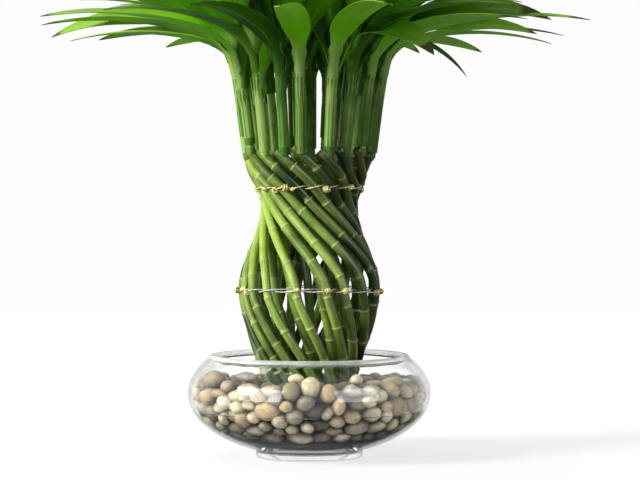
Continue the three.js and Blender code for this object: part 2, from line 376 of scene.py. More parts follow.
class Recipe:
    """The node tree of one material or world, written from its textures to its shader."""

    def __init__(self, name: str, world: bool = False) -> None:
        """Start an empty tree.

        Args:
            name: The name of its material or world.
            world: Whether it belongs to a world.
        """
        self.last_node = f"ShaderNodeOutput{'World' if world else 'Material'}"
        self.owner = (bpy.data.worlds if world else bpy.data.materials).new(name)
        self.owner.use_nodes = True
        self.tree = self.owner.node_tree
        self.tree.nodes.clear()

    def feed(self, socket: Socket, value: object) -> None:
        """Link a socket to another one, or set it to a plain value."""
        if isinstance(value, Socket):
            self.tree.links.new(value, socket)
        else:
            socket.default_value = value

    def node(self, kind: str, settings: dict | None = None, **inputs) -> bpy.types.Node:
        """Add a node.

        Args:
            kind: Its type.
            settings: Its own properties.
            **inputs: What feeds its sockets, by their names with _ for a space.

        Returns:
            The node.
        """
        made = self.tree.nodes.new(kind)
        for key, value in (settings or {}).items():
            setattr(made, key, value)
        for key, value in inputs.items():
            self.feed(made.inputs[key.replace("_", " ")], value)
        return made

    def place(self, kind: str = "Object", scale: Sequence[float] = (1, 1, 1)) -> Socket:
        """Return the piece's own coordinates of one kind, stretched by a scale."""
        coordinates = self.node("ShaderNodeTexCoord").outputs[kind]
        mapping = self.node("ShaderNodeMapping", Vector=coordinates, Scale=scale)
        return mapping.outputs["Vector"]

    def attribute(self, name: str, output: str = "Fac") -> Socket:
        """Return a value kept on the piece's points."""
        return self.node("ShaderNodeAttribute", {"attribute_name": name}).outputs[output]

    def noise(
        self, vector: Socket, scale: float, detail: float = 2, roughness: float = 0.5
    ) -> Socket:
        """Return a soft noise from 0 to 1."""
        made = self.node(
            "ShaderNodeTexNoise", Vector=vector, Scale=scale, Detail=detail, Roughness=roughness
        )
        return made.outputs["Fac"]

    def maths(self, operation: str, first: object, second: object = 0.0) -> Socket:
        """Return the result of an arithmetic node."""
        made = self.node("ShaderNodeMath", {"operation": operation})
        self.feed(made.inputs[0], first)
        self.feed(made.inputs[1], second)
        return made.outputs[0]

    def fade(
        self, value: object, start: float = 0, end: float = 1, low: float = 0, high: float = 1
    ) -> Socket:
        """Return a value eased from the range start to end to the range low to high, and held there."""
        made = self.node(
            "ShaderNodeMapRange",
            {"interpolation_type": "SMOOTHSTEP"},
            Value=value,
            From_Min=start,
            From_Max=end,
            To_Min=low,
            To_Max=high,
        )
        return made.outputs["Result"]

    def mix(self, factor: object, first: object, second: object) -> Socket:
        """Return a mix of two colours, each a socket or a linear colour."""
        made = self.node("ShaderNodeMix", {"data_type": "RGBA"})
        self.feed(made.inputs[0], factor)
        for socket, colour in ((made.inputs[6], first), (made.inputs[7], second)):
            self.feed(socket, (*colour, 1) if isinstance(colour, tuple) else colour)
        return made.outputs[2]

    def bump(self, height: Socket, distance: float, strength: float = 1) -> Socket:
        """Return a normal bent by a height."""
        made = self.node("ShaderNodeBump", Height=height, Distance=distance, Strength=strength)
        return made.outputs["Normal"]

    def shader(self, kind: str = "Principled", **inputs) -> Socket:
        """Return a surface shader of a kind, fed as a node is."""
        return self.node(f"ShaderNodeBsdf{kind}", **inputs).outputs[0]

    def blend(self, factor: object, first: Socket, second: Socket) -> Socket:
        """Return a mix of two shaders."""
        made = self.node("ShaderNodeMixShader", Fac=factor)
        self.feed(made.inputs[1], first)
        self.feed(made.inputs[2], second)
        return made.outputs[0]

    def finish(self, shader: Socket) -> Material | bpy.types.World:
        """Send a shader to the surface and return the material or world."""
        self.node(self.last_node, Surface=shader)
        return self.owner


@dataclass(frozen=True)
class ClearFinish:
    """Glass or water: clear, and passed straight by the light that reaches what is behind it.

    Attributes:
        name: The material's name.
        tint: Colour of what shines through.
        ior: Index of refraction against what lies outside the surface.
        roughness: Unevenness of the surface.
        softened: How far the surface fades where it is seen edge on.
        painted_lip_highlight: How much of a painted highlight, a milky white, the lip takes, where the
            surface is marked as one.
    """

    name: str
    tint: Colour
    ior: float
    roughness: float = 0.0
    softened: float = 0.6
    painted_lip_highlight: float = 0.0
    # Where it fades, from 0 at the middle to 1 edge on, and how many turns a ray can take in it
    edge: tuple[float, float] = (0.6, 0.92)
    longest: int = 6
    # The lip's painted highlight: its milky white and unevenness, how clear it is, and the least share of
    # it that the noise leaves
    highlight_white: Colour = (0.95, 0.98, 0.96)
    highlight_roughness: float = 0.6
    highlight_clear: float = 0.5
    worn: float = 0.6

    def material(self) -> Material:
        """Build the material."""
        recipe = Recipe(self.name)
        body = recipe.shader(
            Base_Color=(*self.tint, 1),
            Roughness=self.roughness,
            IOR=self.ior,
            Transmission_Weight=1.0,
        )
        passed = recipe.shader("Transparent", Color=(*self.tint, 1))
        rays = recipe.node("ShaderNodeLightPath").outputs
        caught = recipe.maths("GREATER_THAN", rays["Ray Depth"], self.longest)
        onwards = recipe.maths("MAXIMUM", rays["Is Shadow Ray"], rays["Is Diffuse Ray"])
        facing = recipe.node("ShaderNodeLayerWeight", Blend=0.5).outputs["Facing"]
        faint = recipe.maths("MAXIMUM", caught, recipe.fade(facing, *self.edge, 0, self.softened))
        clear = recipe.blend(recipe.maths("MAXIMUM", onwards, faint), body, passed)
        if not self.painted_lip_highlight:
            return recipe.finish(clear)
        # Painted highlight: a milky white on the lip, broken up by noise
        highlight_white = recipe.shader(
            Base_Color=(*self.highlight_white, 1),
            Roughness=self.highlight_roughness,
            IOR=self.ior,
            Transmission_Weight=self.highlight_clear,
        )
        kept = recipe.fade(recipe.noise(recipe.place(), 60, 2), 0.35, 0.65, self.worn, 1)
        lip = recipe.maths("MULTIPLY", recipe.attribute("lip"), kept)
        return recipe.finish(recipe.blend(recipe.maths("MULTIPLY", lip, self.painted_lip_highlight), clear, highlight_white))


@dataclass(frozen=True)
class UnseenFinish:
    """The side of the water that wets the glass, where nothing bends the light."""

    name: str = "water_against_glass"

    def material(self) -> Material:
        """Build the material."""
        recipe = Recipe(self.name)
        recipe.owner.blend_method = "BLEND"
        return recipe.finish(recipe.shader("Transparent"))


@dataclass(frozen=True)
class StoneFinish:
    """Water-worn river stone: its own tone, soft mottling, fine grain, a wet part below the level, and
    painted shade in the gaps and at the bottom.

    Attributes:
        name: The material's name.
        waterline: Height up to which the stones are wet.
        patch: Mottles to the metre.
        grain: Grains to the metre.
        roughness: Unevenness of the dry stone.
    """

    name: str = "river_stone"
    waterline: float = 0.041
    patch: float = 230
    grain: float = 1500
    roughness: float = 0.62
    # Colours of the dust, mottles and grains, of the painted shade in the gaps and at the bottom, and
    # what a wet stone darkens to
    dust: Colour = screen(156, 148, 128)
    mottle: Colour = screen(108, 90, 62)
    speck: Colour = screen(246, 236, 214)
    painted_shade: Colour = screen(34, 31, 18)
    soaked: Colour = screen(78, 74, 60)
    # How much each of them shows, and how much smoother a wet stone is
    dusty: float = 0.16
    mottled: float = 0.55
    specked: float = 0.35
    darkened: float = 0.34
    wet_shine: float = 0.22

    def material(self) -> Material:
        """Build the material."""
        recipe = Recipe(self.name)
        place = recipe.place()
        dulled = recipe.mix(self.dusty, recipe.attribute("tone", "Color"), self.dust)
        clouds = recipe.fade(recipe.noise(place, self.patch, 3), 0.35, 0.7)
        shaded = recipe.mix(recipe.maths("MULTIPLY", clouds, self.mottled), dulled, self.mottle)
        grain = recipe.noise(place, self.grain, 2, 0.7)
        speckled = recipe.mix(recipe.fade(grain, 0.56, 0.7, 0, self.specked), shaded, self.speck)
        # Painted shade: darkens the gaps behind the front stones and the bottom of the bed
        with_painted_shade = recipe.mix(recipe.attribute("painted_shade"), speckled, self.painted_shade)
        height = recipe.node("ShaderNodeSeparateXYZ", Vector=place).outputs["Z"]
        wet = recipe.fade(height, self.waterline + 0.002, self.waterline - 0.003)
        body = recipe.shader(
            Base_Color=recipe.mix(recipe.maths("MULTIPLY", wet, self.darkened), with_painted_shade, self.soaked),
            Roughness=recipe.maths(
                "SUBTRACT", self.roughness, recipe.maths("MULTIPLY", wet, self.wet_shine)
            ),
            Normal=recipe.bump(grain, 0.0004, 0.7),
        )
        return recipe.finish(body)


@dataclass(frozen=True)
class ShadeFillFinish:
    """Painted shade: a dark fill with a fine grain under and between the stones, where shade falls."""

    name: str = "shade_fill"
    dark: Colour = screen(8, 16, 11)
    pale: Colour = screen(34, 44, 32)
    roughness: float = 0.45
    grain: float = 420
    depth: float = 0.0012

    def material(self) -> Material:
        """Build the material."""
        recipe = Recipe(self.name)
        grain = recipe.noise(recipe.place(), self.grain, 3, 0.6)
        body = recipe.shader(
            Base_Color=recipe.mix(recipe.fade(grain, 0.45, 0.7), self.dark, self.pale),
            Roughness=self.roughness,
            Normal=recipe.bump(grain, self.depth),
        )
        return recipe.finish(body)


@dataclass(frozen=True)
class CaneFinish:
    """Waxy skin with pale growth rings, streaks along the grain, specks and a dry cut end.

    Attributes:
        name: The material's name.
        deep: The darker green.
        bright: The lighter, yellower green.
        ring: Colour of the growth rings and bud scars.
        cut: Colour of a cut end.
        waxed: Colour of the waxy bloom under a growth ring.
        low_dark: Colour that the canes darken to just above the stones, up to a little above the bowl's
            rim.
        aged: Colour of the yellowing patches.
        speck: Colour of the small brown specks.
        roughness: Unevenness of the skin.
        shine: Strength of its shine.
    """

    name: str
    deep: Colour
    bright: Colour
    ring: Colour = screen(186, 192, 122)
    cut: Colour = screen(88, 92, 46)
    waxed: Colour = screen(142, 166, 84)
    low_dark: Colour = screen(48, 46, 16)
    aged: Colour = screen(124, 134, 50)
    speck: Colour = screen(84, 74, 26)
    roughness: float = 0.31
    shine: float = 0.46

    def material(self) -> Material:
        """Build the material."""
        recipe = Recipe(self.name)
        place = recipe.place()
        clouds = recipe.noise(place, 38, 2)
        uneven = recipe.maths("MULTIPLY", recipe.maths("SUBTRACT", clouds, 0.5), 0.9)
        level = recipe.maths("ADD", recipe.attribute("tone"), uneven)
        streak = recipe.noise(recipe.place("UV", (26, 2.2, 1)), 1, 2)
        height = recipe.node("ShaderNodeSeparateXYZ", Vector=place).outputs["Z"]
        colour = recipe.mix(recipe.fade(level), self.deep, self.bright)
        for amount, covering in (
            (recipe.fade(recipe.noise(place, 24, 2), 0.52, 0.68, 0, 0.38), self.aged),
            (recipe.fade(streak, 0.42, 0.75, 0, 0.45), self.deep),
            (recipe.fade(recipe.noise(place, 520, 1), 0.68, 0.76, 0, 0.6), self.speck),
            (recipe.fade(recipe.attribute("wax"), 0.0, 1.0, 0, 0.35), self.waxed),
            (recipe.attribute("ring"), self.ring),
            # Darker towards the stones, from 105 mm down to 66 mm
            (recipe.fade(height, 0.105, 0.066, 0, 0.55), self.low_dark),
            (recipe.attribute("cut"), self.cut),
        ):
            colour = recipe.mix(amount, colour, covering)
        fibre = recipe.noise(recipe.place("UV", (60, 3, 1)), 1, 1)
        body = recipe.shader(
            Base_Color=colour,
            Roughness=recipe.fade(clouds, 0.2, 0.8, self.roughness - 0.06, self.roughness + 0.1),
            Specular_IOR_Level=self.shine,
            Normal=recipe.bump(fibre, 0.00012, 0.6),
        )
        return recipe.finish(body)


class LeafSide(Enum):
    """The two sides of a leaf, by how they look."""

    UPPER = "leaf_upper"
    UNDER = "leaf_under"


@dataclass(frozen=True)
class LeafFinish:
    """One side of a leaf: a pale clasp, long veins beside a rib, a glow from behind and a dry tip.

    Attributes:
        side: Which side it is.
        deep: The darker green.
        bright: The lighter green of young leaves.
        clasp: Colour of the part that clasps the stem.
        margin: Colour of the clasp's edges.
        faded: Colour of the paler outer half.
        glow: Colour of the light that comes through.
        dry: Colour of the tip.
        veins: How many veins cross the blade.
        roughness: Unevenness of the skin.
        shine: Strength of its shine.
        through: How much of the light comes through.
    """

    side: LeafSide
    deep: Colour
    bright: Colour
    clasp: Colour = screen(84, 140, 34)
    margin: Colour = screen(190, 222, 124)
    faded: Colour = screen(164, 182, 92)
    glow: Colour = screen(144, 204, 14)
    dry: Colour = screen(84, 66, 54)
    veins: float = 34
    roughness: float = 0.42
    shine: float = 0.18
    through: float = 0.38

    def material(self) -> Material:
        """Build the material."""
        recipe = Recipe(self.side.value)
        place = recipe.place()
        clouds = recipe.noise(place, 26, 2)
        level = recipe.maths("ADD", recipe.attribute("tone"), recipe.maths("SUBTRACT", clouds, 0.5))
        green = recipe.mix(recipe.fade(level), self.deep, self.bright)
        parts = recipe.node("ShaderNodeSeparateXYZ", Vector=recipe.place("UV")).outputs
        veins = recipe.noise(recipe.place("UV", (1.4, self.veins, 1)), 1, 2)
        veined = recipe.mix(recipe.fade(veins, 0.45, 0.75, 0, 0.4), green, self.bright)
        beside = recipe.maths("ABSOLUTE", recipe.maths("SUBTRACT", parts["Y"], 0.5))
        ribbed = recipe.mix(recipe.fade(beside, 0.045, 0.0, 0, 0.5), veined, self.bright)
        far = recipe.fade(parts["X"], 0.35, 0.8, 0, 0.6)
        outer = recipe.maths("MULTIPLY", far, recipe.fade(level, -0.1, 0.9))
        blade = recipe.mix(outer, ribbed, self.faded)
        paler = recipe.mix(recipe.fade(level, 0.1, 1.0), self.clasp, self.margin)
        clasp = recipe.mix(recipe.fade(veins, 0.3, 0.9, 0, 0.2), paler, self.deep)
        opened = recipe.fade(parts["X"], 0.14, 0.36)
        grown = recipe.mix(opened, clasp, blade)
        edge = recipe.maths(
            "MULTIPLY", recipe.fade(beside, 0.44, 0.49), recipe.fade(opened, 1.0, 0.4)
        )
        edged = recipe.mix(recipe.maths("MULTIPLY", edge, 0.85), grown, self.margin)
        dryness = recipe.maths("MULTIPLY", recipe.attribute("dry"), 0.13)
        torn = recipe.maths("MULTIPLY", recipe.noise(place, 300, 2), 0.03)
        end = recipe.maths("ADD", recipe.maths("ADD", parts["X"], dryness), torn)
        tipped = recipe.mix(recipe.fade(end, 0.962, 0.995, 0, 0.92), edged, self.dry)
        body = recipe.shader(
            Base_Color=tipped,
            Roughness=recipe.fade(clouds, 0.2, 0.8, self.roughness - 0.05, self.roughness + 0.1),
            Specular_IOR_Level=self.shine,
            Normal=recipe.bump(veins, 0.0004, 0.5),
        )
        passed = recipe.shader("Translucent", Color=recipe.mix(0.45, tipped, self.glow))
        return recipe.finish(recipe.blend(self.through, body, passed))


@dataclass(frozen=True)
class WireFinish:
    """Thin metal wire, a little dulled by handling.

    Attributes:
        name: The material's name.
        bright: Its colour where it is clean.
        dull: Its colour where it is not.
        metal: How metallic it is.
    """

    name: str
    bright: Colour
    dull: Colour
    metal: float = 0.3

    def material(self) -> Material:
        """Build the material."""
        recipe = Recipe(self.name)
        dulled = recipe.noise(recipe.place(), 700, 2)
        body = recipe.shader(
            Base_Color=recipe.mix(recipe.fade(dulled, 0.4, 0.7), self.bright, self.dull),
            Metallic=self.metal,
            Roughness=recipe.fade(dulled, 0.3, 0.7, 0.25, 0.45),
            Normal=recipe.bump(dulled, 0.00005),
        )
        return recipe.finish(body)


@dataclass(frozen=True)
class FloorFinish:
    """Plain white studio floor that is lit from below as well, so that its shadows stay faint."""

    name: str = "studio_floor"
    white: Colour = (0.9, 0.9, 0.9)
    worn: Colour = (0.88, 0.88, 0.88)
    # How brightly it glows as seen and for what stands on it, and how far lights light it
    glow: float = 0.79
    glow_below: float = 0.05
    lit: float = 0.22

    def material(self) -> Material:
        """Build the material."""
        recipe = Recipe(self.name)
        patches = recipe.fade(recipe.noise(recipe.place(), 2, 2), 0.3, 0.7, 0, 0.5)
        body = recipe.shader("Diffuse", Color=recipe.mix(patches, self.white, self.worn))
        rays = recipe.node("ShaderNodeLightPath").outputs
        seen = recipe.maths("MAXIMUM", rays["Is Camera Ray"], rays["Transmission Depth"])
        full, faint = (glow / (1 - self.lit) for glow in (self.glow, self.glow_below))
        light = recipe.node("ShaderNodeEmission", Strength=recipe.fade(seen, 0.0, 1.0, faint, full))
        return recipe.finish(recipe.blend(self.lit, light.outputs[0], body))


# The bowl and what it holds


@dataclass
class Bowl:
    """The squat glass bowl on its short foot, and the water in it.

    The wall is a squashed ball, cut open at the rim, and its lip is rounded by the fire.
    """

    foot_radius: float = 0.044
    foot_height: float = 0.004
    neck_radius: float = 0.0455
    neck_height: float = 0.0065
    belly_radius: float = 0.1
    belly_height: float = 0.052
    rim_radius: float = 0.0795
    height: float = 0.084
    # Thickness of the wall, radius of the lip, height of the floor and hollow of the foot
    wall: float = 0.003
    bead: float = 0.0019
    floor: float = 0.008
    hollow: float = 0.0008
    # The water: its level, how far it climbs at the glass, and the gap to the glass
    water_level: float = 0.04
    meniscus: float = 0.0006
    film: float = 0.0001
    glass_index: float = 1.45
    water_index: float = 1.333
    sides: int = 128
    step: float = 0.0025

    def ball_radius(self, height: float, inset: float = 0.0) -> float:
        """Return the radius at a height of the squashed ball that lies an inset inside the wall."""
        upper = height > self.belly_height
        end = (self.rim_radius if upper else self.neck_radius) / self.belly_radius
        top = self.height - self.belly_height
        reach = top if upper else self.belly_height - self.neck_height
        part = (height - self.belly_height) / (reach / math.sqrt(1 - end * end) - inset)
        return (self.belly_radius - inset) * math.sqrt(max(0.0, 1 - part * part))

    def room(self, heights: Array) -> Array:
        """Return the inner radius of the glass at each height."""
        return np.array([self.ball_radius(float(z), self.wall) for z in heights])

    def wall_profile(self, inset: float, low: float, high: float) -> Profile:
        """Return stations up the squashed ball from one height to another."""
        count = max(2, round((high - low) / self.step))
        heights = [lerp(low, high, n / count) for n in range(count + 1)]
        return [(z, self.ball_radius(z, inset)) for z in heights]

    def lip_profile(self, steps: int = 14) -> Profile:
        """Return stations over the lip, a bead a little thicker than the wall, from the outside in."""
        top = self.height - self.bead
        middle = self.ball_radius(top) - self.wall / 2
        start = -math.acos(self.wall / 2 / self.bead)
        angles = [lerp(start, math.pi - start, n / steps) for n in range(steps + 1)]
        return [(top + self.bead * math.sin(a), middle + self.bead * math.cos(a)) for a in angles]

    def build(self) -> None:
        """Model the glass and give it its finishes."""
        edge = self.foot_radius
        foot = [
            (self.hollow, edge * 0.05),
            (self.hollow, edge * 0.72),
            (self.hollow * 0.3, edge * 0.84),
            (0.0, edge * 0.9),
            (0.0, edge - 0.001),
            (0.0003, edge - 0.0003),
            (0.001, edge),
            (self.foot_height, edge),
            (self.foot_height + 0.0012, edge + 0.0002),
        ]
        top = self.height - self.bead * 1.75
        outside = self.wall_profile(0, self.neck_height, top)
        inside = self.wall_profile(self.wall, self.floor + 0.001, top)[::-1]
        basin = self.ball_radius(self.floor, self.wall)
        well = [
            (self.floor + 0.0002, basin - 0.0012),
            (self.floor, basin - 0.003),
            (self.floor, basin * 0.1),
        ]
        profile = [*foot, *outside, *self.lip_profile(), *inside, *well]
        bowl = draw_out("glass_bowl", profile, self.sides, upright=True)
        # The glass's lip takes a painted highlight
        glass = ClearFinish("clear_glass", (0.975, 0.99, 0.985), self.glass_index, painted_lip_highlight=0.5)
        against = self.glass_index / self.water_index
        wetted = ClearFinish("glass_against_water", (0.985, 0.995, 0.99), against)
        dress(bowl, glass.material(), wetted.material())
        for face in bowl.data.polygons:
            middle = face.center
            inner = self.ball_radius(middle.z, self.wall / 2)
            within = math.hypot(middle.x, middle.y) < inner and middle.z > self.floor - self.film
            face.material_index = int(within and middle.z < self.water_level)
        smooth(bowl, 40)
        # Marks the lip, where the painted highlight goes
        above = points_of(bowl)[:, 2] - (self.height - 2 * self.bead)
        write_values(bowl, "lip", np.clip(above / (0.5 * self.bead), 0, 1))
        hand_over(bowl, ["bowl"])

    def build_water(self) -> None:
        """Model the water, which climbs a little where it meets the glass."""
        inset = self.wall + self.film
        base = self.floor + self.film
        sides = self.wall_profile(inset, base + 0.001, self.water_level + self.meniscus)
        brim = sides[-1][1]
        surface = [
            (self.water_level + self.meniscus * 0.45, brim - 0.0008),
            (self.water_level + self.meniscus * 0.15, brim - 0.002),
            (self.water_level, brim - 0.004),
            (self.water_level, brim * 0.1),
        ]
        start = self.ball_radius(base, inset) - 0.001
        profile = [(base, start * 0.1), (base, start), *sides, *surface]
        water = draw_out("water_body", profile, self.sides, upright=True)
        surface_finish = ClearFinish("water_top", (0.98, 0.992, 0.988), self.water_index)
        dress(water, surface_finish.material(), UnseenFinish().material())
        for face in water.data.polygons:
            face.material_index = int(face.normal.z < 0.3)
        smooth(water, 40)
        hand_over(water, ["water"])


class StoneTone(Enum):
    """The tones of the river stones, and how common each is among the loose ones."""

    CREAM = (screen(206, 190, 154), 5)
    PALE = (screen(219, 210, 188), 2.5)
    BLUSH = (screen(199, 180, 158), 2.5)
    TAN = (screen(171, 145, 104), 5)
    PEACH = (screen(180, 149, 110), 2)
    BROWN = (screen(121, 97, 67), 2.6)
    OLIVE = (screen(112, 102, 73), 1.6)
    GREY = (screen(138, 132, 117), 2.4)
    SLATE = (screen(86, 82, 73), 0.8)


@dataclass(frozen=True)
class FrontStone:
    """A stone with a place of its own against the glass.

    Attributes:
        angle: Where it lies, from the front.
        height: Height of its middle.
        length: Its half length, sideways.
        thickness: Its half height.
        tone: Its tone.
        inset: How far behind the glass its middle lies.
        slant: How far its right end is raised, in degrees.
    """

    angle: float
    height: float
    length: float
    thickness: float
    tone: StoneTone
    inset: float = 0.008
    slant: float = 0


# The stones that the photograph shows against the front of the glass
FRONT_STONES = tuple(
    FrontStone(*row)
    for row in (
        (-63, 0.0656, 0.0115, 0.0077, StoneTone.BROWN),
        (-37, 0.0698, 0.0108, 0.004, StoneTone.SLATE),
        (-53, 0.0559, 0.0107, 0.004, StoneTone.PEACH),
        (-32, 0.0598, 0.0115, 0.0059, StoneTone.BLUSH),
        (-19, 0.0602, 0.0095, 0.0055, StoneTone.BLUSH),
        (-38, 0.0551, 0.01, 0.0055, StoneTone.CREAM),
        (-31, 0.049, 0.0078, 0.0051, StoneTone.CREAM),
        (-52, 0.0456, 0.0085, 0.0048, StoneTone.CREAM),
        (-42, 0.0415, 0.0069, 0.0044, StoneTone.CREAM),
        (-21, 0.0464, 0.0115, 0.0082, StoneTone.TAN),
        (-9, 0.0601, 0.0075, 0.0082, StoneTone.OLIVE),
        (-7, 0.0695, 0.0063, 0.0039, StoneTone.CREAM),
        (1, 0.0632, 0.0078, 0.0085, StoneTone.CREAM),
        (10, 0.0589, 0.0071, 0.0078, StoneTone.TAN),
        (15, 0.0499, 0.0053, 0.0082, StoneTone.PEACH),
        (23, 0.06, 0.0085, 0.0055, StoneTone.PALE),
        (33, 0.0594, 0.0094, 0.0055, StoneTone.PALE),
        (27, 0.0681, 0.0049, 0.0047, StoneTone.CREAM),
        (38, 0.0555, 0.008, 0.0059, StoneTone.CREAM),
        (25, 0.0498, 0.0078, 0.0047, StoneTone.OLIVE),
        (-7, 0.0425, 0.0071, 0.007, StoneTone.GREY),
        (3, 0.0455, 0.008, 0.0055, StoneTone.SLATE, 0.011),
        (6, 0.037, 0.009, 0.005, StoneTone.SLATE, 0.011),
        (10, 0.0445, 0.0063, 0.0043, StoneTone.PALE, 0.008, 35),
        (50, 0.0471, 0.0115, 0.0084, StoneTone.BROWN),
        (27, 0.0345, 0.0107, 0.0075, StoneTone.GREY),
        (-5, 0.0277, 0.0115, 0.0075, StoneTone.BLUSH),
        (-17, 0.0321, 0.0062, 0.0047, StoneTone.GREY),
        (14, 0.0323, 0.008, 0.0047, StoneTone.CREAM),
        (-44, 0.0334, 0.0089, 0.0056, StoneTone.GREY),
        (-31, 0.0325, 0.0091, 0.0059, StoneTone.BLUSH),
        (52, 0.0643, 0.0109, 0.0052, StoneTone.TAN),
        (65, 0.057, 0.0115, 0.0056, StoneTone.GREY),
        (-79, 0.052, 0.0115, 0.0057, StoneTone.TAN),
    )
)


@dataclass
class StoneBed:
    """Some hundreds of river stones, settled by their weight inside the glass and round the canes."""

    bowl: Bowl
    canes: "Canes"
    # The loose stones: how many, their half widths, and half thickness as a share of that
    loose_count: int = 430
    smallest: float = 0.0052
    largest: float = 0.0086
    flatness: float = 0.78
    # From where to where they lie, and the core that they keep out of
    stones_from: float = 0.0185
    bed_top: float = 0.0665
    core_depth: float = 0.017
    core_top: float = 0.046
    # The dark fill of painted shade: the radius its floor starts at, and its top by the glass
    fill_start: float = 0.004
    fill_top: float = 0.02
    clearance: float = 0.0004
    # How they settle: in how many steps, and how far they sink, give way and are pushed in each
    settle_steps: int = 260
    sink: float = 0.00022
    give_way: float = 0.42
    longest_move: float = 0.002
    core_push: float = 0.0008
    cane_push: float = 0.001
    # Painted shade in the gaps behind the front stones: how deep it starts, how far on it is full, and
    # how full
    gap_shade_from: float = 0.0019
    gap_shade_reach: float = 0.0047
    gap_shade_most: float = 0.9
    # Painted shade at the bottom of the bed: its lowest level, how far that rises, how soft its edge is,
    # how full
    bottom_shade_low: float = 0.0175
    bottom_shade_wave: float = 0.013
    bottom_shade_edge: float = 0.004
    bottom_shade_most: float = 0.97
    # The shapes: how many there are, the dents of each, and how far the loose stones lean
    shapes: int = 9
    dents: int = 5
    dent_edge: float = 0.55
    dent_depth: tuple[float, float] = (-0.16, 0.06)
    lean: float = 0.3
    seed: int = 7
    front: tuple[FrontStone, ...] = FRONT_STONES

    def settle(self, rng: np.random.Generator) -> tuple[Array, Array]:
        """Let the loose stones find their places.

        They push each other apart, sink under their weight, and stay inside the glass, off the
        canes and out of the core.

        Args:
            rng: Where the random numbers come from.

        Returns:
            The middles of the stones, and their mean half sizes.
        """
        pinned = [self.front_place(stone) for stone in self.front]
        count = self.loose_count
        sizes = rng.uniform(self.smallest, self.largest, count)
        angles = rng.uniform(0, 360, count)
        heights = rng.uniform(self.stones_from + 0.005, self.bed_top - 0.004, count)
        inner = self.bowl.room(heights)
        depth = rng.uniform(0.008, 0.03, count)
        on_top = heights > self.core_top - 0.004
        spread = np.where(on_top, inner * np.sqrt(rng.uniform(0.09, 0.95, count)), inner - depth)
        loose = np.array([around(a, r, z) for a, r, z in zip(angles, spread, heights)])
        middles = np.vstack([np.array(pinned), loose])
        radii = np.concatenate([[s.thickness * 1.15 for s in self.front], sizes])
        weight = np.ones(len(middles))
        weight[: len(pinned)] = 0
        wall = self.wall_line()
        for step in range(self.settle_steps):
            middles[:, 2] -= weight * self.sink * (1 - step / self.settle_steps)
            self.push_apart(middles, radii, weight)
            self.keep_inside(middles, radii, weight, wall)
            self.keep_off_canes(middles, radii, weight)
        return middles, radii

    def wall_line(self) -> Array:
        """Return the inner side of the glass as rows of radius and height, from the floor's middle up."""
        low = self.stones_from
        edge = self.bowl.ball_radius(low, self.bowl.wall)
        floor = [(r, low) for r in np.linspace(0, edge, 23)]
        side = [(r, z) for z, r in self.bowl.wall_profile(self.bowl.wall, low + 0.0005, 0.082)]
        line = np.array([*floor, *side])
        fine = np.linspace(0, len(line) - 1, 4 * len(line))
        steps = np.arange(len(line))
        return np.column_stack([np.interp(fine, steps, line[:, n]) for n in range(2)])

    def push_apart(self, middles: Array, radii: Array, weight: Array) -> None:
        """Move stones that lie in each other half of the way apart."""
        squashed = middles * np.array([1, 1, 1 / self.flatness])
        gap = squashed[:, None, :] - squashed[None, :, :]
        far = np.linalg.norm(gap, axis=2) + np.eye(len(middles))
        overlap = np.maximum(0, radii[:, None] + radii[None, :] - far)
        np.fill_diagonal(overlap, 0)
        move = (gap / far[:, :, None] * overlap[:, :, None]).sum(axis=1) * self.give_way
        move *= np.array([1, 1, self.flatness])
        middles += np.clip(move, -self.longest_move, self.longest_move) * weight[:, None]

    def keep_inside(self, middles: Array, radii: Array, weight: Array, wall: Array) -> None:
        """Push stones off the glass, out of the core and under the top of the bed.

        Args:
            middles: The middles of the stones, which are moved.
            radii: Their mean half sizes.
            weight: 1 for each loose stone and 0 for each one with a place of its own.
            wall: The inner side of the glass, as wall_line gives it.
        """
        out = np.hypot(middles[:, 0], middles[:, 1]) + 1e-9
        away = np.column_stack([out, middles[:, 2]])[:, None, :] - wall[None, :, :]
        distance = np.linalg.norm(away, axis=2)
        nearest = distance.argmin(axis=1)
        rows = np.arange(len(middles))
        gap = distance[rows, nearest]
        reach = radii * 0.92 + self.clearance
        direction = away[rows, nearest] / np.maximum(gap, 1e-9)[:, None]
        limit = self.bowl.room(middles[:, 2])
        outside = (out > limit) | (middles[:, 2] < self.stones_from)
        direction[outside] *= -1
        push = np.where(outside, reach + gap, np.maximum(0, reach - gap)) * weight
        new_out = np.maximum(out + direction[:, 0] * push, 0.001)
        middles[:, :2] *= (new_out / out)[:, None]
        middles[:, 2] += direction[:, 1] * push
        core = limit - self.core_depth - radii
        deep = (new_out < core) & (middles[:, 2] < self.core_top)
        upwards = core - new_out > self.core_top - middles[:, 2]
        shift = np.where(deep & ~upwards, self.core_push, 0.0) * weight
        middles[:, 2] += np.where(deep & upwards, self.core_push, 0.0) * weight
        middles[:, :2] *= ((new_out + shift) / new_out)[:, None]
        ceiling = self.bed_top - radii * self.flatness
        middles[:, 2] = np.where(weight > 0, np.minimum(middles[:, 2], ceiling), middles[:, 2])

    def keep_off_canes(self, middles: Array, radii: Array, weight: Array) -> None:
        """Push stones away from the feet of the canes."""
        for i in range(self.canes.count):
            low, high = self.canes.point(i, 0.03), self.canes.point(i, self.bed_top)
            part = np.clip((middles[:, 2] - low.z) / (high.z - low.z), 0, 1)[:, None]
            foot = np.array(low)[None, :2] * (1 - part) + np.array(high)[None, :2] * part
            away = middles[:, :2] - foot
            far = np.linalg.norm(away, axis=1) + 1e-9
            short = np.maximum(0, radii + self.canes.radius - far) * weight
            middles[:, :2] += away / far[:, None] * np.minimum(short, self.cane_push)[:, None]

    def front_place(self, stone: FrontStone) -> Vector:
        """Return the middle of a stone that has its own place."""
        radius = self.bowl.ball_radius(stone.height, self.bowl.wall + stone.inset)
        return around(stone.angle, radius, stone.height)

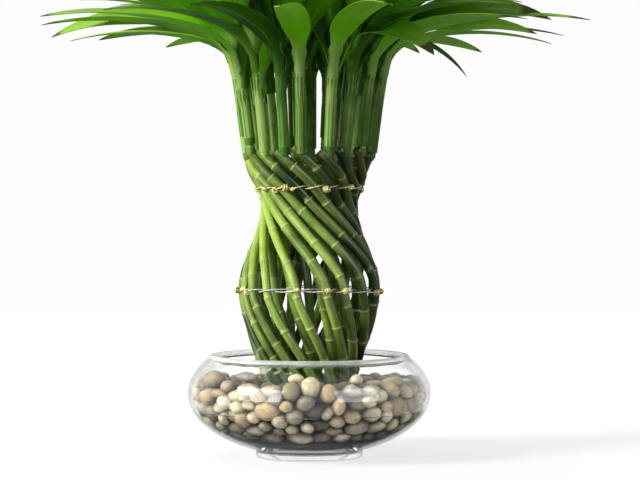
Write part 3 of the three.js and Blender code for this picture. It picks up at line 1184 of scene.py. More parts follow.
    def pebble(self, number: int) -> Piece:
        """Model one water-worn shape, with half sizes of one metre, from a ball.

        Args:
            number: Which of the shapes it is.

        Returns:
            The shape.
        """
        deselect()
        bpy.ops.mesh.primitive_ico_sphere_add(subdivisions=2, radius=1)
        stone = named(f"pebble_{number}")
        rng = np.random.default_rng(100 + number)
        with editing(stone):
            mesh = bmesh.from_edit_mesh(stone.data)
            for _ in range(self.dents):
                direction = Vector(rng.normal(size=3)).normalized()
                for vertex in mesh.verts:
                    vertex.select = vertex.co.normalized().dot(direction) > self.dent_edge
                mesh.select_flush(True)
                bmesh.update_edit_mesh(stone.data)
                bpy.ops.transform.translate(value=direction * rng.uniform(*self.dent_depth))
            bpy.ops.mesh.select_all(action="SELECT")
            bpy.ops.mesh.vertices_smooth(factor=0.5, repeat=2)
        places = points_of(stone)
        places -= places.mean(axis=0)
        places /= np.abs(places).max(axis=0)
        move_points(stone, places)
        smooth(stone, 80)
        return stone

    def lay(self, shape: Piece, matrix: Matrix, tone: StoneTone) -> Piece:
        """Copy a shape to its place and give it its tone."""
        stone = copy_of(shape)
        stone.data.transform(matrix)
        colour = stone.data.attributes.new("tone", "FLOAT_COLOR", "POINT")
        values = np.tile([*tone.value[0], 1.0], len(stone.data.vertices))
        colour.data.foreach_set("color", values)
        return stone

    def painted_shade(self, places: Array) -> Array:
        """Return how much painted shade lies on each point: in the gaps behind the front stones, and at
        the bottom of the bed.
        """
        behind = self.bowl.room(places[:, 2]) - np.hypot(places[:, 0], places[:, 1])
        depth = np.minimum(behind, self.bed_top + 0.003 - places[:, 2])
        gaps = self.gap_shade_most * np.clip((depth - self.gap_shade_from) / self.gap_shade_reach, 0, 1)
        angles = np.arctan2(places[:, 0], -places[:, 1])
        # Painted shade towards the bottom of the bowl, reaching higher four times round it
        bottom_shade = self.bottom_shade_low + self.bottom_shade_wave * np.sin(2 * angles) ** 2 - places[:, 2]
        return np.maximum(gaps, self.bottom_shade_most * np.clip(bottom_shade / self.bottom_shade_edge + 0.5, 0, 1))

    def front_matrix(self, stone: FrontStone, middle: Array) -> Matrix:
        """Return what gives a shape the size, slant and place of a stone at the front."""
        size = Matrix.Diagonal((stone.length, stone.thickness * 1.05, stone.thickness, 1))
        turn = Matrix.Rotation(math.radians(stone.angle), 4, "Z")
        lean = Matrix.Rotation(-math.radians(stone.slant), 4, "Y")
        return Matrix.Translation(Vector(middle)) @ turn @ lean @ size

    def loose_matrix(self, radius: float, middle: Array, rng: np.random.Generator) -> Matrix:
        """Return what gives a shape the size, lean and place of a loose stone."""
        length = radius * rng.uniform(1.02, 1.24)
        width = radius * rng.uniform(0.9, 1.04)
        size = Matrix.Diagonal((length, width, radius * self.flatness, 1))
        turn = Matrix.Rotation(rng.uniform(0, 2 * math.pi), 4, "Z")
        forwards = Matrix.Rotation(rng.normal(0, self.lean), 4, "X")
        sideways = Matrix.Rotation(rng.normal(0, self.lean), 4, "Y")
        return Matrix.Translation(Vector(middle)) @ (forwards @ sideways) @ turn @ size

    def build(self) -> None:
        """Model the stones and the dark fill of painted shade under them."""
        rng = np.random.default_rng(self.seed)
        middles, radii = self.settle(rng)
        shapes = [self.pebble(n) for n in range(self.shapes)]
        tones = list(StoneTone)
        odds = np.array([common for _, common in (tone.value for tone in tones)])
        stones = []
        for n, (middle, radius) in enumerate(zip(middles, radii)):
            if n < len(self.front):
                matrix, tone = self.front_matrix(self.front[n], middle), self.front[n].tone
            else:
                matrix = self.loose_matrix(radius, middle, rng)
                tone = tones[rng.choice(len(tones), p=odds / odds.sum())]
            stones.append(self.lay(shapes[n % self.shapes], matrix, tone))
        bed = join("river_stones", stones)
        for shape in shapes:
            bpy.data.objects.remove(shape)
        # Painted shade for the stone finish, in the gaps and at the bottom
        write_values(bed, "painted_shade", self.painted_shade(points_of(bed)))
        dress(bed, StoneFinish().material())
        hand_over(bed, ["stone_bed"])
        self.build_shade_fill()

    def build_shade_fill(self) -> None:
        """Model the dark fill of painted shade: it fills the bottom of the bowl and the middle of the
        bed.
        """
        inset = self.bowl.wall + 3 * self.clearance
        base = self.bowl.floor + 2 * self.clearance
        low = self.bowl.wall_profile(inset, base + 0.001, self.fill_top)
        high = self.bowl.wall_profile(inset + self.core_depth, self.fill_top + 0.003, self.core_top)
        start = self.bowl.ball_radius(base, inset) - 0.0015
        crown = [(self.core_top + 0.003, high[-1][1] * 0.9), (self.core_top + 0.004, 0.01)]
        profile = [(base, self.fill_start), (base, start), *low, *high, *crown]
        # Painted shade: a dark body in the bottom of the bowl and the middle of the bed
        fill_piece = draw_out("shade_fill", profile, 96, upright=True)
        with editing(fill_piece):
            bpy.ops.mesh.select_all(action="SELECT")
            bpy.ops.mesh.quads_convert_to_tris()
        dress(fill_piece, ShadeFillFinish().material())
        smooth(fill_piece, 60)
        hand_over(fill_piece)


# The canes


@dataclass(frozen=True)
class Level:
    """One height of the trained ring: its radius, and how far the canes have turned there."""

    height: float
    radius: float
    turn: float


@dataclass
class Canes:
    """Cut canes, trained into a ring that is wide at the belt, narrow at the waist and twisted."""

    # The names of the pieces and of their CAD nodes, and where the draws start
    name: str = "bamboo_cane"
    node: str | None = "cane"
    seed: int = 0
    # The ring's form, and how early it flares and turns below the belt and turns above it
    foot: Level = Level(0.012, 0.026, 86)
    belt: Level = Level(0.1375, 0.0548, 0)
    waist: Level = Level(0.2065, 0.0364, -65)
    crown: Level = Level(0.251, 0.0516, -121)
    flare_below: float = 0.9
    turn_below: float = 1.35
    turn_above: float = 1.7
    # Where the first cane stands, and how far each one is off its even place
    first_angle: float = -10
    uneven: tuple[float, ...] = (-1, 5, 1, 2, 6, 1, -4, 2, -3, 4, 1, -5, 2, -2, 4, -1, -6, -8)
    uneven_at_foot: float = 0.25
    # Radius of a cane, how far that varies, and how far the cut tops do
    radius: float = 0.0036
    radius_spread: float = 0.04
    top_spread: float = 0.0022
    top_wave: float = 2.4
    soil_height: float = 0.022
    # The growth rings: the lowest one's height, their spacing, and the bare end at the top
    first_ring: float = 0.08
    ring_spacing: float = 0.027
    ring_spread: float = 0.1
    ring_clear: float = 0.008
    # Places beside a growth ring and the radius there, as a share of the cane's own
    ring_shape: Profile = (
        (-0.004, 1.0), (-0.0018, 1.02), (-0.0009, 1.055), (-0.0003, 1.11), (0.0002, 1.13),
        (0.0006, 1.06), (0.001, 0.985), (0.0022, 0.965), (0.0045, 0.975), (0.0085, 1.0),
    )
    # The bud scars: their height over a ring, half length, half width in radians, and swelling
    scar_rise: float = 0.0016
    scar_length: float = 0.0012
    scar_width: float = 0.4
    scar_swell: float = 0.09
    # How much stouter the canes are where the upper tie presses them, and how far from it
    pressed: float = 0.08
    pressed_reach: float = 0.034
    sides: int = 20
    station_step: float = 0.006
    path_step: float = 0.002
    # Painted light on the front canes that face the lamps, and painted shade: the others' low base tone
    # and a darker foot
    lit_cane_tones: dict[int, float] = field(
        default_factory=lambda: {0: 1.0, 17: 0.95, 16: 0.7, 1: 0.62, 2: 0.66, 3: 0.4, 15: 0.5}
    )
    shade: float = 0.06
    shaded_foot: float = 0.5

    @property
    def count(self) -> int:
        """Return how many canes there are."""
        return len(self.uneven)

    def ring_at(self, height: float) -> tuple[float, float]:
        """Return the radius of the ring at a height, and how far it has turned there."""
        if height < self.belt.height:
            down = (self.belt.height - height) / (self.belt.height - self.foot.height)
            radius = lerp(self.belt.radius, self.foot.radius, ease(down**self.flare_below))
            return radius, self.foot.turn * down**self.turn_below
        if height < self.waist.height:
            up = (height - self.belt.height) / (self.waist.height - self.belt.height)
            radius = lerp(self.belt.radius, self.waist.radius, ease(up))
            return radius, self.waist.turn * up**self.turn_above
        up = (height - self.waist.height) / (self.crown.height - self.waist.height)
        turn = lerp(self.waist.turn, self.crown.turn, up)
        return lerp(self.waist.radius, self.crown.radius, ease(up)), turn

    def point(self, i: int, height: float) -> Vector:
        """Return the point on the middle line of cane i at a height."""
        radius, turn = self.ring_at(height)
        up = (height - self.belt.height) / (self.waist.height - self.belt.height)
        down = (self.belt.height - height) / (self.belt.height - self.foot.height)
        loose = 1 - ease(up) if up > 0 else lerp(1, self.uneven_at_foot, ease(down))
        even = self.first_angle + 360 / self.count * i
        return around(even + self.uneven[i] * loose + turn, radius, height)

    def thickness_at(self, i: int, height: float) -> float:
        """Return the radius of cane i at a height: the canes are pressed and stouter at the waist."""
        pressed = self.pressed * math.exp(-(((height - self.waist.height) / self.pressed_reach) ** 2))
        spread = self.radius_spread * draw(Topic.CANE_RADIUS, i + self.seed)
        return self.radius * (1 + spread) * (1 + pressed)

    def top(self, i: int) -> float:
        """Return the height at which cane i is cut off."""
        return self.crown.height + self.top_spread * math.sin(self.top_wave * i)

    def growth_rings(self, i: int) -> list[float]:
        """Return the heights of the growth rings of cane i above the stones."""
        heights = []
        height = self.first_ring + self.ring_spacing * share(Topic.FIRST_RING, i + self.seed)
        while height < self.top(i) - self.ring_clear:
            heights.append(height)
            spread = self.ring_spread * draw(Topic.RING_GAP, i + self.seed, len(heights))
            height += self.ring_spacing * (1 + spread)
        return heights

    def path(self, i: int) -> tuple[Line, list[float]]:
        """Return the middle line of cane i, and each point's distance along it."""
        low, high = self.soil_height, self.top(i)
        count = round((high - low) / self.path_step)
        points = [self.point(i, lerp(low, high, n / count)) for n in range(count + 1)]
        return points, distances(points)

    def stations(self, i: int) -> tuple[Profile, list[float]]:
        """Lay out cane i as a straight piece.

        Args:
            i: Which cane.

        Returns:
            Its profile, and its growth rings' places along it.
        """
        points, along = self.path(i)
        heights = [p.z for p in points]
        rings = [float(np.interp(z, heights, along)) for z in self.growth_rings(i)]
        end = along[-1]
        shape = [(0.0, 0.93), (0.0005, 1.0)]
        for ring in rings:
            start = shape[-1][0]
            gap = ring + self.ring_shape[0][0] - start
            fill = int(gap / self.station_step)
            shape += [(start + gap * n / (fill + 1), 1.0) for n in range(1, fill + 1)]
            shape += [(ring + x, r) for x, r in self.ring_shape]
        while shape[-1][0] > end - 0.004:
            shape.pop()
        shape += [(end - 0.003, 1.0), (end - 0.0004, 1.0)]
        shape += [(end, 0.94), (end, 0.62), (end - 0.0004, 0.3)]
        profile = []
        for x, size in shape:
            height = float(np.interp(x, along, heights))
            profile.append((x, size * self.thickness_at(i, height)))
        return profile, rings

    def scars(self, i: int, places: Array, rings: Sequence[float]) -> Array:
        """Return how much of a bud scar each point of a straight cane lies in, from 0 to 1.

        Args:
            i: Which cane.
            places: The points.
            rings: Where its growth rings are.

        Returns:
            One number for each point: a scar sits just above each ring, on alternate sides.
        """
        marks = np.zeros(len(places))
        turned = np.arctan2(places[:, 2], places[:, 1])
        for n, ring in enumerate(rings):
            middle = math.pi * (n % 2) + 0.6 * draw(Topic.KNOT, i + self.seed, n) + i
            aside = np.angle(np.exp(1j * (turned - middle)))
            above = (places[:, 0] - ring - self.scar_rise) / self.scar_length
            near = above**2 + (aside / self.scar_width) ** 2
            marks = np.maximum(marks, np.exp(-near))
        return marks

    def tones(self, i: int, x: Array, rings: Sequence[float]) -> Array:
        """Return the tone of each point of cane i, painted light and shade included: each length between
        rings has its own.
        """
        # Painted light on the front canes, and painted shade as the others' low base tone
        base = self.lit_cane_tones.get(i, self.shade + 0.45 * share(Topic.TONE, i + self.seed))
        lengths = np.searchsorted(np.array(rings), x)
        own = [0.2 * draw(Topic.TONE, i + self.seed, 30 + n) for n in range(len(rings) + 1)]
        # Painted shade: darker towards the foot
        below = np.clip(1 - (self.soil_height + x) / self.belt.height, 0, 1)
        return base + np.array(own)[lengths] - self.shaded_foot * below

    def model(self, i: int) -> Piece:
        """Model cane i: drawn out straight, marked for its finish and then bent along its path."""
        profile, rings = self.stations(i)
        cane = draw_out(f"{self.name}_{i + 1:02d}", profile, self.sides)
        wrap_uv(cane, self.ring_spacing)
        places = points_of(cane)
        x = places[:, 0]
        marks = self.scars(i, places, rings)
        places[:, 1:] *= (1 + self.scar_swell * marks)[:, None]
        move_points(cane, places)
        beside = x[:, None] - np.array(rings)[None, :]
        ring = np.exp(-(((beside - 0.0001) / 0.0006) ** 2)).max(axis=1)
        wax = np.exp(-((beside / np.where(beside < 0, 0.0035, 0.001)) ** 2)).max(axis=1)
        write_values(cane, "ring", np.maximum(ring * 0.6, marks * 0.8))
        write_values(cane, "wax", wax)
        write_values(cane, "cut", (x > profile[-1][0] - 1e-4).astype(float))
        write_values(cane, "tone", self.tones(i, x, rings))
        bend_along(cane, self.path(i)[0])
        return cane

    def build(self) -> None:
        """Model all the canes, each as a piece of its own, and give them their finish."""
        skin = CaneFinish(f"{self.name}_skin", screen(8, 52, 0), screen(160, 188, 80)).material()
        for i in range(self.count):
            cane = self.model(i)
            dress(cane, skin)
            smooth(cane, 55)
            hand_over(cane, numbered(self.node, i))


# The shoots


@dataclass(frozen=True)
class Leaf:
    """One leaf of a shoot: which way it grows and how large it is.

    Attributes:
        aim: Angle from straight outwards.
        lift: Climb of the blade's middle.
        droop: How far it bends down from there to the tip.
        length: Its length.
        width: Its greatest width.
        height: Height at which it leaves the stem, where the frame's plan doesn't give it.
        roll: How far it turns over by its tip, where that isn't left to chance.
        tone: How much brighter it is than the others: partly its own tone and partly painted light and
            shade.
    """

    aim: float
    lift: float
    droop: float
    length: float
    width: float
    height: float | None = None
    roll: float | None = None
    tone: float = 0.0


@dataclass
class LeafForm:
    """A straight leaf that is modelled once and copied: a clasp round the stem, opening into a blade.

    The blade is one metre long and true in width. The clasp lies before its start.

    Attributes:
        name: The form's name.
        width: Its greatest width.
        wave: How far its edges wave up and down, in degrees.
        phase: Where along it the waves start.
        neck: Half of its width where the blade leaves the clasp.
        stem: Radius of the clasp.
        clasp: Length of the clasp.
    """

    name: str
    width: float
    wave: float
    phase: float
    neck: float = 0.0058
    stem: float = 0.0042
    clasp: float = 0.2
    # How far it is folded, the powers of its outline, and where it is widened and opened
    fold: float = 13
    shape_power: float = 0.75
    fullness: float = 0.8
    widened: float = 0.26
    opened: float = 0.13
    thickness: float = 0.0005
    clasp_columns: int = 3
    blade_columns: int = 24
    rows: int = 8

    def place(self, column: int) -> float:
        """Return where a column lies: below 0 in the clasp and from 0 to 1 in the blade."""
        if column < self.clasp_columns:
            return -self.clasp * (1 - column / self.clasp_columns)
        return ((column - self.clasp_columns) / self.blade_columns) ** 1.12

    def half_width(self, t: float) -> float:
        """Return half of the width at a place."""
        if t < 0:
            return 3 * self.stem
        blade = self.width / 2 * math.sin(math.pi * t**self.shape_power) ** self.fullness
        blade *= smoothstep(t, self.widened)
        clasp = lerp(3 * self.stem, self.neck, smoothstep(t, 0.15)) * (1 - t)
        return max(blade, clasp, 0.00008)

    def bends(self, t: float, side: int) -> list[float]:
        """Return how far each row is turned up against the row before it, from the rib outwards."""
        open_share = smoothstep(max(t, 0.0), self.opened)
        wave = self.wave * math.sin(2 * math.pi * (2.6 * t + self.phase + 0.27 * side))
        blade = [self.fold + 9 * (1 - t), -2.5, -3.0, 0.6 * wave * ease(2 * t)]
        rolled = [22, 43.5, 43.5, 43.5]
        return [lerp(r, b, open_share) for r, b in zip(rolled, blade)]

    def rib_height(self, t: float) -> float:
        """Return how far below the leaf's path its rib lies, where it clasps the stem."""
        return -self.stem * (1 - smoothstep(max(t, 0.0), self.opened))

    def build(self) -> Piece:
        """Model the leaf from a flat grid: each column is set to its width and bent row by row.

        Returns:
            The leaf, along +X from the stem to the tip, with its upper side up.
        """
        columns = self.clasp_columns + self.blade_columns
        deselect()
        bpy.ops.mesh.primitive_grid_add(x_subdivisions=columns, y_subdivisions=self.rows, size=1)
        leaf = named(self.name)
        half = self.rows // 2
        with editing(leaf):
            mesh = bmesh.from_edit_mesh(leaf.data)
            lines = {
                (round((v.co.x + 0.5) * columns), round(v.co.y * self.rows)): v for v in mesh.verts
            }
            for n in range(columns + 1):
                t = self.place(n)
                for side in (1, -1):
                    place, turn = Vector((t, 0, self.rib_height(t))), 0.0
                    pace = self.half_width(t) / half
                    lines[(n, 0)].co = place
                    for row, bend in enumerate(self.bends(t, side), start=1):
                        turn += math.radians(bend)
                        up, out = pace * math.sin(turn), side * pace * math.cos(turn)
                        place = place + Vector((0, out, up))
                        lines[(n, side * row)].co = place
            bmesh.update_edit_mesh(leaf.data)
            bpy.ops.mesh.select_all(action="SELECT")
            bpy.ops.mesh.remove_doubles(threshold=0.00005)
        thicken(leaf, self.thickness)
        smooth(leaf, 75)
        return leaf

    def fitted(self, form: Piece, length: float, width: float, clasp: float, stem: float) -> Piece:
        """Copy the leaf and give it its own size.

        Args:
            form: The leaf as it was modelled.
            length: Length of the blade.
            width: Greatest width of the blade.
            clasp: Length of the clasp.
            stem: Radius of the clasp.

        Returns:
            The leaf, whose clasp starts at the origin.
        """
        blade = copy_of(form)
        places = points_of(blade)
        x = places[:, 0]
        opened = np.clip(x / self.opened, 0, 1) ** 2
        size = stem / self.stem + (width / self.width - stem / self.stem) * opened
        places[:, 1] *= size
        places[:, 2] *= np.maximum(size, stem / self.stem * (1 - opened))
        places[:, 0] = np.where(x < 0, x / self.clasp * clasp, x * length) + clasp
        move_points(blade, places)
        return blade


@dataclass
class Shoots:
    """Leafy shoots: each has a stem with rings, clasping leaves and the rolled spear of a young leaf."""

    canes: Canes
    name: str = "leafy_shoot"
    node: str | None = "shoot"
    # The stem: its radius, how far below the cut top it grows, its lean, its leaves and its spear
    radius: float = 0.0034
    root_drop: float = 0.0055
    lean: float = 0.125
    flare: float = 0.012
    leaf_start: float = 0.312
    leaf_step: float = 0.0105
    top: float = 0.376
    spear_tip: float = 0.472
    sides: int = 16
    stem_steps: int = 40
    spear_steps: int = 12
    # The lowest leaves are brighter: partly their own tone, partly painted sheen
    leaves: tuple[Leaf, ...] = (
        Leaf(0, 19, 31, 0.180, 0.025, tone=0.4),
        Leaf(33, 31, 36, 0.172, 0.025, tone=0.3),
        Leaf(-33, 43, 40, 0.165, 0.024, tone=0.15),
        Leaf(8, 57, 42, 0.150, 0.022),
        Leaf(-18, 72, 34, 0.128, 0.017),
        Leaf(82, 66, 34, 0.124, 0.018, 0.3),
        Leaf(-86, 68, 32, 0.118, 0.018, 0.308),
    )
    # More leaves on single shoots, as the photograph shows them
    more: dict[int, tuple[Leaf, ...]] = field(
        default_factory=lambda: {
            2: (Leaf(-8, 26, 52, 0.16, 0.025, 0.322, -50, 0.6),),
            5: (Leaf(8, 40, 30, 0.155, 0.036, 0.318, 10, -0.55),),
            6: (
                Leaf(150, 76, 16, 0.13, 0.028, 0.303, 40, 0.5),
                Leaf(-20, 78, 12, 0.12, 0.016, 0.326, 0, 1.0),
            ),
            7: (
                Leaf(44, 48, 30, 0.15, 0.027, 0.321, 25, 0.9),
                Leaf(-112, 74, 20, 0.13, 0.028, 0.303, -40, 0.3),
            ),
            8: (
                Leaf(10, 52, 36, 0.16, 0.03, 0.33, 30, 0.2),
                Leaf(22, 14, 60, 0.1, 0.028, 0.322, 34, 1.2),
                Leaf(44, 10, 64, 0.112, 0.009, 0.318, 30, 0.1),
            ),
            9: (Leaf(26, 34, 50, 0.172, 0.026, 0.33, 50, 0.5),),
            10: (Leaf(-6, 28, 52, 0.165, 0.026, 0.326, 50, 0.6),),
            11: (Leaf(-14, 20, 40, 0.15, 0.024, 0.32, 45, 0.5),),
        }
    )
    # The tones of single leaves that the photograph shows: partly their own tone and partly painted light
    # and shade
    light_and_shade_tones: dict[tuple[int, int], float] = field(
        default_factory=lambda: {(4, 0): 0.25, (5, 0): -0.15, (6, 0): 1.0, (7, 0): 1.3, (8, 0): 0.1}
    )
    # The leaf that points inwards on every other shoot, and which one it takes the place of
    inward_place: int | None = 4
    inward_leaf: Leaf = Leaf(180, 66, 22, 0.108, 0.015)
    # How far the leaves differ from one shoot to the next
    start_spread: float = 0.002
    aim_spread: float = 4.7
    sweep_spread: float = 9
    lift_spread: float = 2
    length_spread: float = 0.08
    roll_spread: float = 24
    # How steeply a leaf leaves the stem, how soon it has bent to its lift, and how late it droops
    rise: float = 66
    bend: float = 0.03
    droop_power: float = 1.3
    steps: int = 40
    # Radius and length of the clasps of the lowest leaves and of the highest
    clasp_low: float = 0.0042
    clasp_high: float = 0.003
    clasp_long: float = 0.05
    clasp_short: float = 0.022
    clasp_steps: int = 5
    # The canes without a shoot, the leaves' brightness, and the rings at a stem's base
    bare: tuple[int, ...] = ()
    tone: float = 0.3
    base_rings: tuple[float, ...] = (0.0068, 0.0098, 0.0138, 0.0192, 0.0275)

    def chance(self, topic: Topic, i: int, j: int) -> float:
        """Return the repeatable draw for part j of shoot i."""
        return draw(topic, i + self.canes.seed, j)

    def point(self, i: int, height: float) -> Vector:
        """Return the point on the middle line of shoot i at a height."""
        root = self.canes.point(i, self.root(i))
        rise = (height - root.z) / (self.top - root.z)
        reach = math.hypot(root.x, root.y) + self.lean * (height - root.z) + self.flare * rise**4
        return around(angle_of(root), reach, height)

    def root(self, i: int) -> float:
        """Return the height at which shoot i leaves its cane."""
        return self.canes.top(i) - self.root_drop

    def leaves_of(self, i: int) -> list[Leaf]:
        """Return the leaves of shoot i. One of them points inwards on every other shoot."""
        leaves = [*self.leaves, *self.more.get(i, ())]
        if self.inward_place is not None and i % 2 == 0:
            leaves[self.inward_place] = self.inward_leaf
        return leaves

    def start(self, i: int, k: int) -> float:
        """Return the height at which leaf k of shoot i leaves the stem."""
        planned = self.leaves_of(i)[k].height or self.leaf_start + self.leaf_step * k
        return planned + self.start_spread * self.chance(Topic.LEAF_START, i, k)

    def leaf_path(self, i: int, k: int) -> tuple[Line, list[float], float]:
        """Follow the rib of leaf k of shoot i.

        Args:
            i: Which shoot.
            k: Which of its leaves.

        Returns:
            The points along the rib, how far the blade is rolled at each, and its length.
        """
        leaf = self.leaves_of(i)[k]
        at = self.point(i, self.start(i, k))
        aim = angle_of(at) + leaf.aim + self.aim_spread * self.chance(Topic.LEAF_AIM, i, k)
        sweep = self.sweep_spread * self.chance(Topic.LEAF_SWEEP, i, k)
        lift = leaf.lift + self.lift_spread * self.chance(Topic.LEAF_LIFT, i, k)
        length = leaf.length * (1 + self.length_spread * self.chance(Topic.LEAF_LENGTH, i, k))
        free = self.roll_spread * self.chance(Topic.LEAF_ROLL, i, k)
        points, tilts = [], []
        for n in range(self.steps + 1):
            t = n / self.steps
            beside = math.exp(-((t * length / self.bend) ** 2))
            climb = lift - leaf.droop * t**self.droop_power + max(0, self.rise - lift) * beside
            slope = math.radians(climb)
            points.append(at.copy())
            tilts.append(free * t if leaf.roll is None else leaf.roll * smoothstep(t, 0.6))
            at += around(aim + sweep * t, math.cos(slope), math.sin(slope)) * (length / self.steps)
        return points, tilts, length

    def clasp_path(self, i: int, k: int, length: float) -> tuple[Line, list[float]]:
        """Return the stretch of the stem that leaf k clasps, and how far the clasp is turned on it."""
        height = self.start(i, k)
        count = self.clasp_steps
        points = [self.point(i, height - length * (1 - n / count)) for n in range(count)]
        aim = self.leaves_of(i)[k].aim
        ahead = (self.point(i, height) - points[0]).normalized()
        level = Vector((0, 0, 1)).cross(ahead).normalized()
        outward = around(angle_of(points[0]) + aim, 1, 0)
        wanted = Vector((0, 0, 1)).cross(outward)
        turned = math.degrees(math.atan2(level.cross(wanted).dot(ahead), level.dot(wanted)))
        return points, [turned] * count

    def stem_path(self, i: int) -> Line:
        """Return the middle line of the stem of shoot i, up to the tip of its spear."""
        low = self.root(i)
        count, more = self.stem_steps, self.spear_steps
        points = [self.point(i, lerp(low, self.top, n / count)) for n in range(count + 1)]
        onwards = (self.point(i, self.top) - self.point(i, self.top - 0.001)).normalized()
        length = self.spear_tip - self.top
        return points + [points[-1] + onwards * (length * n / more) for n in range(1, more + 1)]

    def along(self, i: int, height: float) -> float:
        """Return how far along the stem of shoot i a height is."""
        points = self.stem_path(i)[: self.stem_steps + 1]
        return float(np.interp(height, [p.z for p in points], distances(points)))

    def stem(self, i: int) -> Piece:
        """Model the stem of shoot i with its lowest rings and its rolled spear."""
        r = self.radius
        profile = [(0.0, r * 0.8), (0.0012, r * 0.98), (0.004, r * 1.04)]
        rings = [place * (1 + 0.08 * self.chance(Topic.FORM, i, 40)) for place in self.base_rings]
        ring_shape = ((-0.0008, 1.04), (-0.0002, 1.11), (0.0003, 1.03))
        profile += [(place + away, r * size) for place in rings for away, size in ring_shape]
        neck = self.along(i, self.leaf_start)
        end = self.along(i, self.top)
        tip = end + self.spear_tip - self.top
        profile += [(lerp(0.03, neck, n / 5), r * lerp(1.02, 0.95, n / 5)) for n in range(1, 6)]
        profile += [(lerp(neck, end, n / 4), r * lerp(0.95, 0.62, n / 4)) for n in range(1, 5)]
        spear = ((0.15, 0.55), (0.35, 0.56), (0.55, 0.5), (0.75, 0.36), (0.9, 0.2), (0.98, 0.07))
        profile += [(lerp(end, tip, t), r * size) for t, size in spear]
        stem = draw_out("stem", profile, self.sides)
        wrap_uv(stem, 0.03)
        x = points_of(stem)[:, 0]
        beside = x[:, None] - np.array(rings)[None, :]
        write_values(stem, "ring", 0.55 * np.exp(-((beside / 0.0005) ** 2)).max(axis=1))
        write_values(stem, "wax", 0.0)
        write_values(stem, "cut", 0.0)
        bend_along(stem, self.stem_path(i), twist="Z_UP")
        return stem

    def blade(self, i: int, k: int, form: LeafForm, master: Piece) -> Piece:
        """Copy a leaf form as leaf k of shoot i and bend it to its place.

        Args:
            i: Which shoot.
            k: Which of its leaves.
            form: The leaf's form.
            master: The leaf as that form models it.

        Returns:
            The leaf.
        """
        leaf = self.leaves_of(i)[k]
        points, tilts, length = self.leaf_path(i, k)
        low = max(0.0, (self.start(i, k) - self.leaf_start) / (self.top - self.leaf_start))
        clasp = lerp(self.clasp_long, self.clasp_short, min(1.0, 1.6 * low))
        clasp *= 1 + 0.15 * self.chance(Topic.FORM, i, k + 9)
        stem = lerp(self.clasp_low, self.clasp_high, low)
        blade = form.fitted(master, length, leaf.width, clasp, stem)
        before, turned = self.clasp_path(i, k, clasp)
        bend_along(blade, [*before, *points], [*turned, *tilts], twist="Z_UP")
        # A leaf's tone is partly its own and partly painted light and shade
        drawn = leaf.tone + self.tone * (1.3 + 1.6 * self.chance(Topic.TONE, i, k))
        write_values(blade, "tone", self.light_and_shade_tones.get((i, k), drawn))
        dryness = max(0.0, self.chance(Topic.DRYNESS, i, k)) * min(1.0, 0.022 / leaf.width)
        write_values(blade, "dry", dryness)
        return blade

    def build(self) -> None:
        """Model all the shoots, each as a piece of its own."""
        forms = [
            LeafForm("leaf_calm", 0.025, 3, 0.1),
            LeafForm("leaf_waved", 0.025, 9, 0.45),
            LeafForm("leaf_twisted", 0.025, 6, 0.8),
        ]
        masters = [form.build() for form in forms]
        skin = CaneFinish(
            f"{self.name}_skin",
            screen(38, 100, 10),
            screen(162, 208, 92),
            screen(136, 150, 78),
            waxed=screen(128, 154, 78),
        )
        upper = LeafFinish(LeafSide.UPPER, screen(10, 66, 2), screen(146, 220, 22))
        under = LeafFinish(LeafSide.UNDER, screen(56, 84, 24), screen(174, 190, 106), roughness=0.5)
        stem_finish, *leaf_finishes = (finish.material() for finish in (skin, upper, under))
        for i in range(self.canes.count):
            if i in self.bare:
                continue
            stem = self.stem(i)
            write_values(stem, "tone", 0.35 + 0.3 * self.chance(Topic.TONE, i, 7))
            dress(stem, stem_finish)
            blades = []
            for k in range(len(self.leaves_of(i))):
                pick = int(share(Topic.FORM, i, k) * len(forms)) % len(forms)
                blade = self.blade(i, k, forms[pick], masters[pick])
                dress(blade, *leaf_finishes)
                blades.append(blade)
            shoot = join(f"{self.name}_{i + 1:02d}", [stem, *blades])
            smooth(shoot, 60)
            hand_over(shoot, numbered(self.node, i))
        for master in masters:
            bpy.data.objects.remove(master)


# The ties


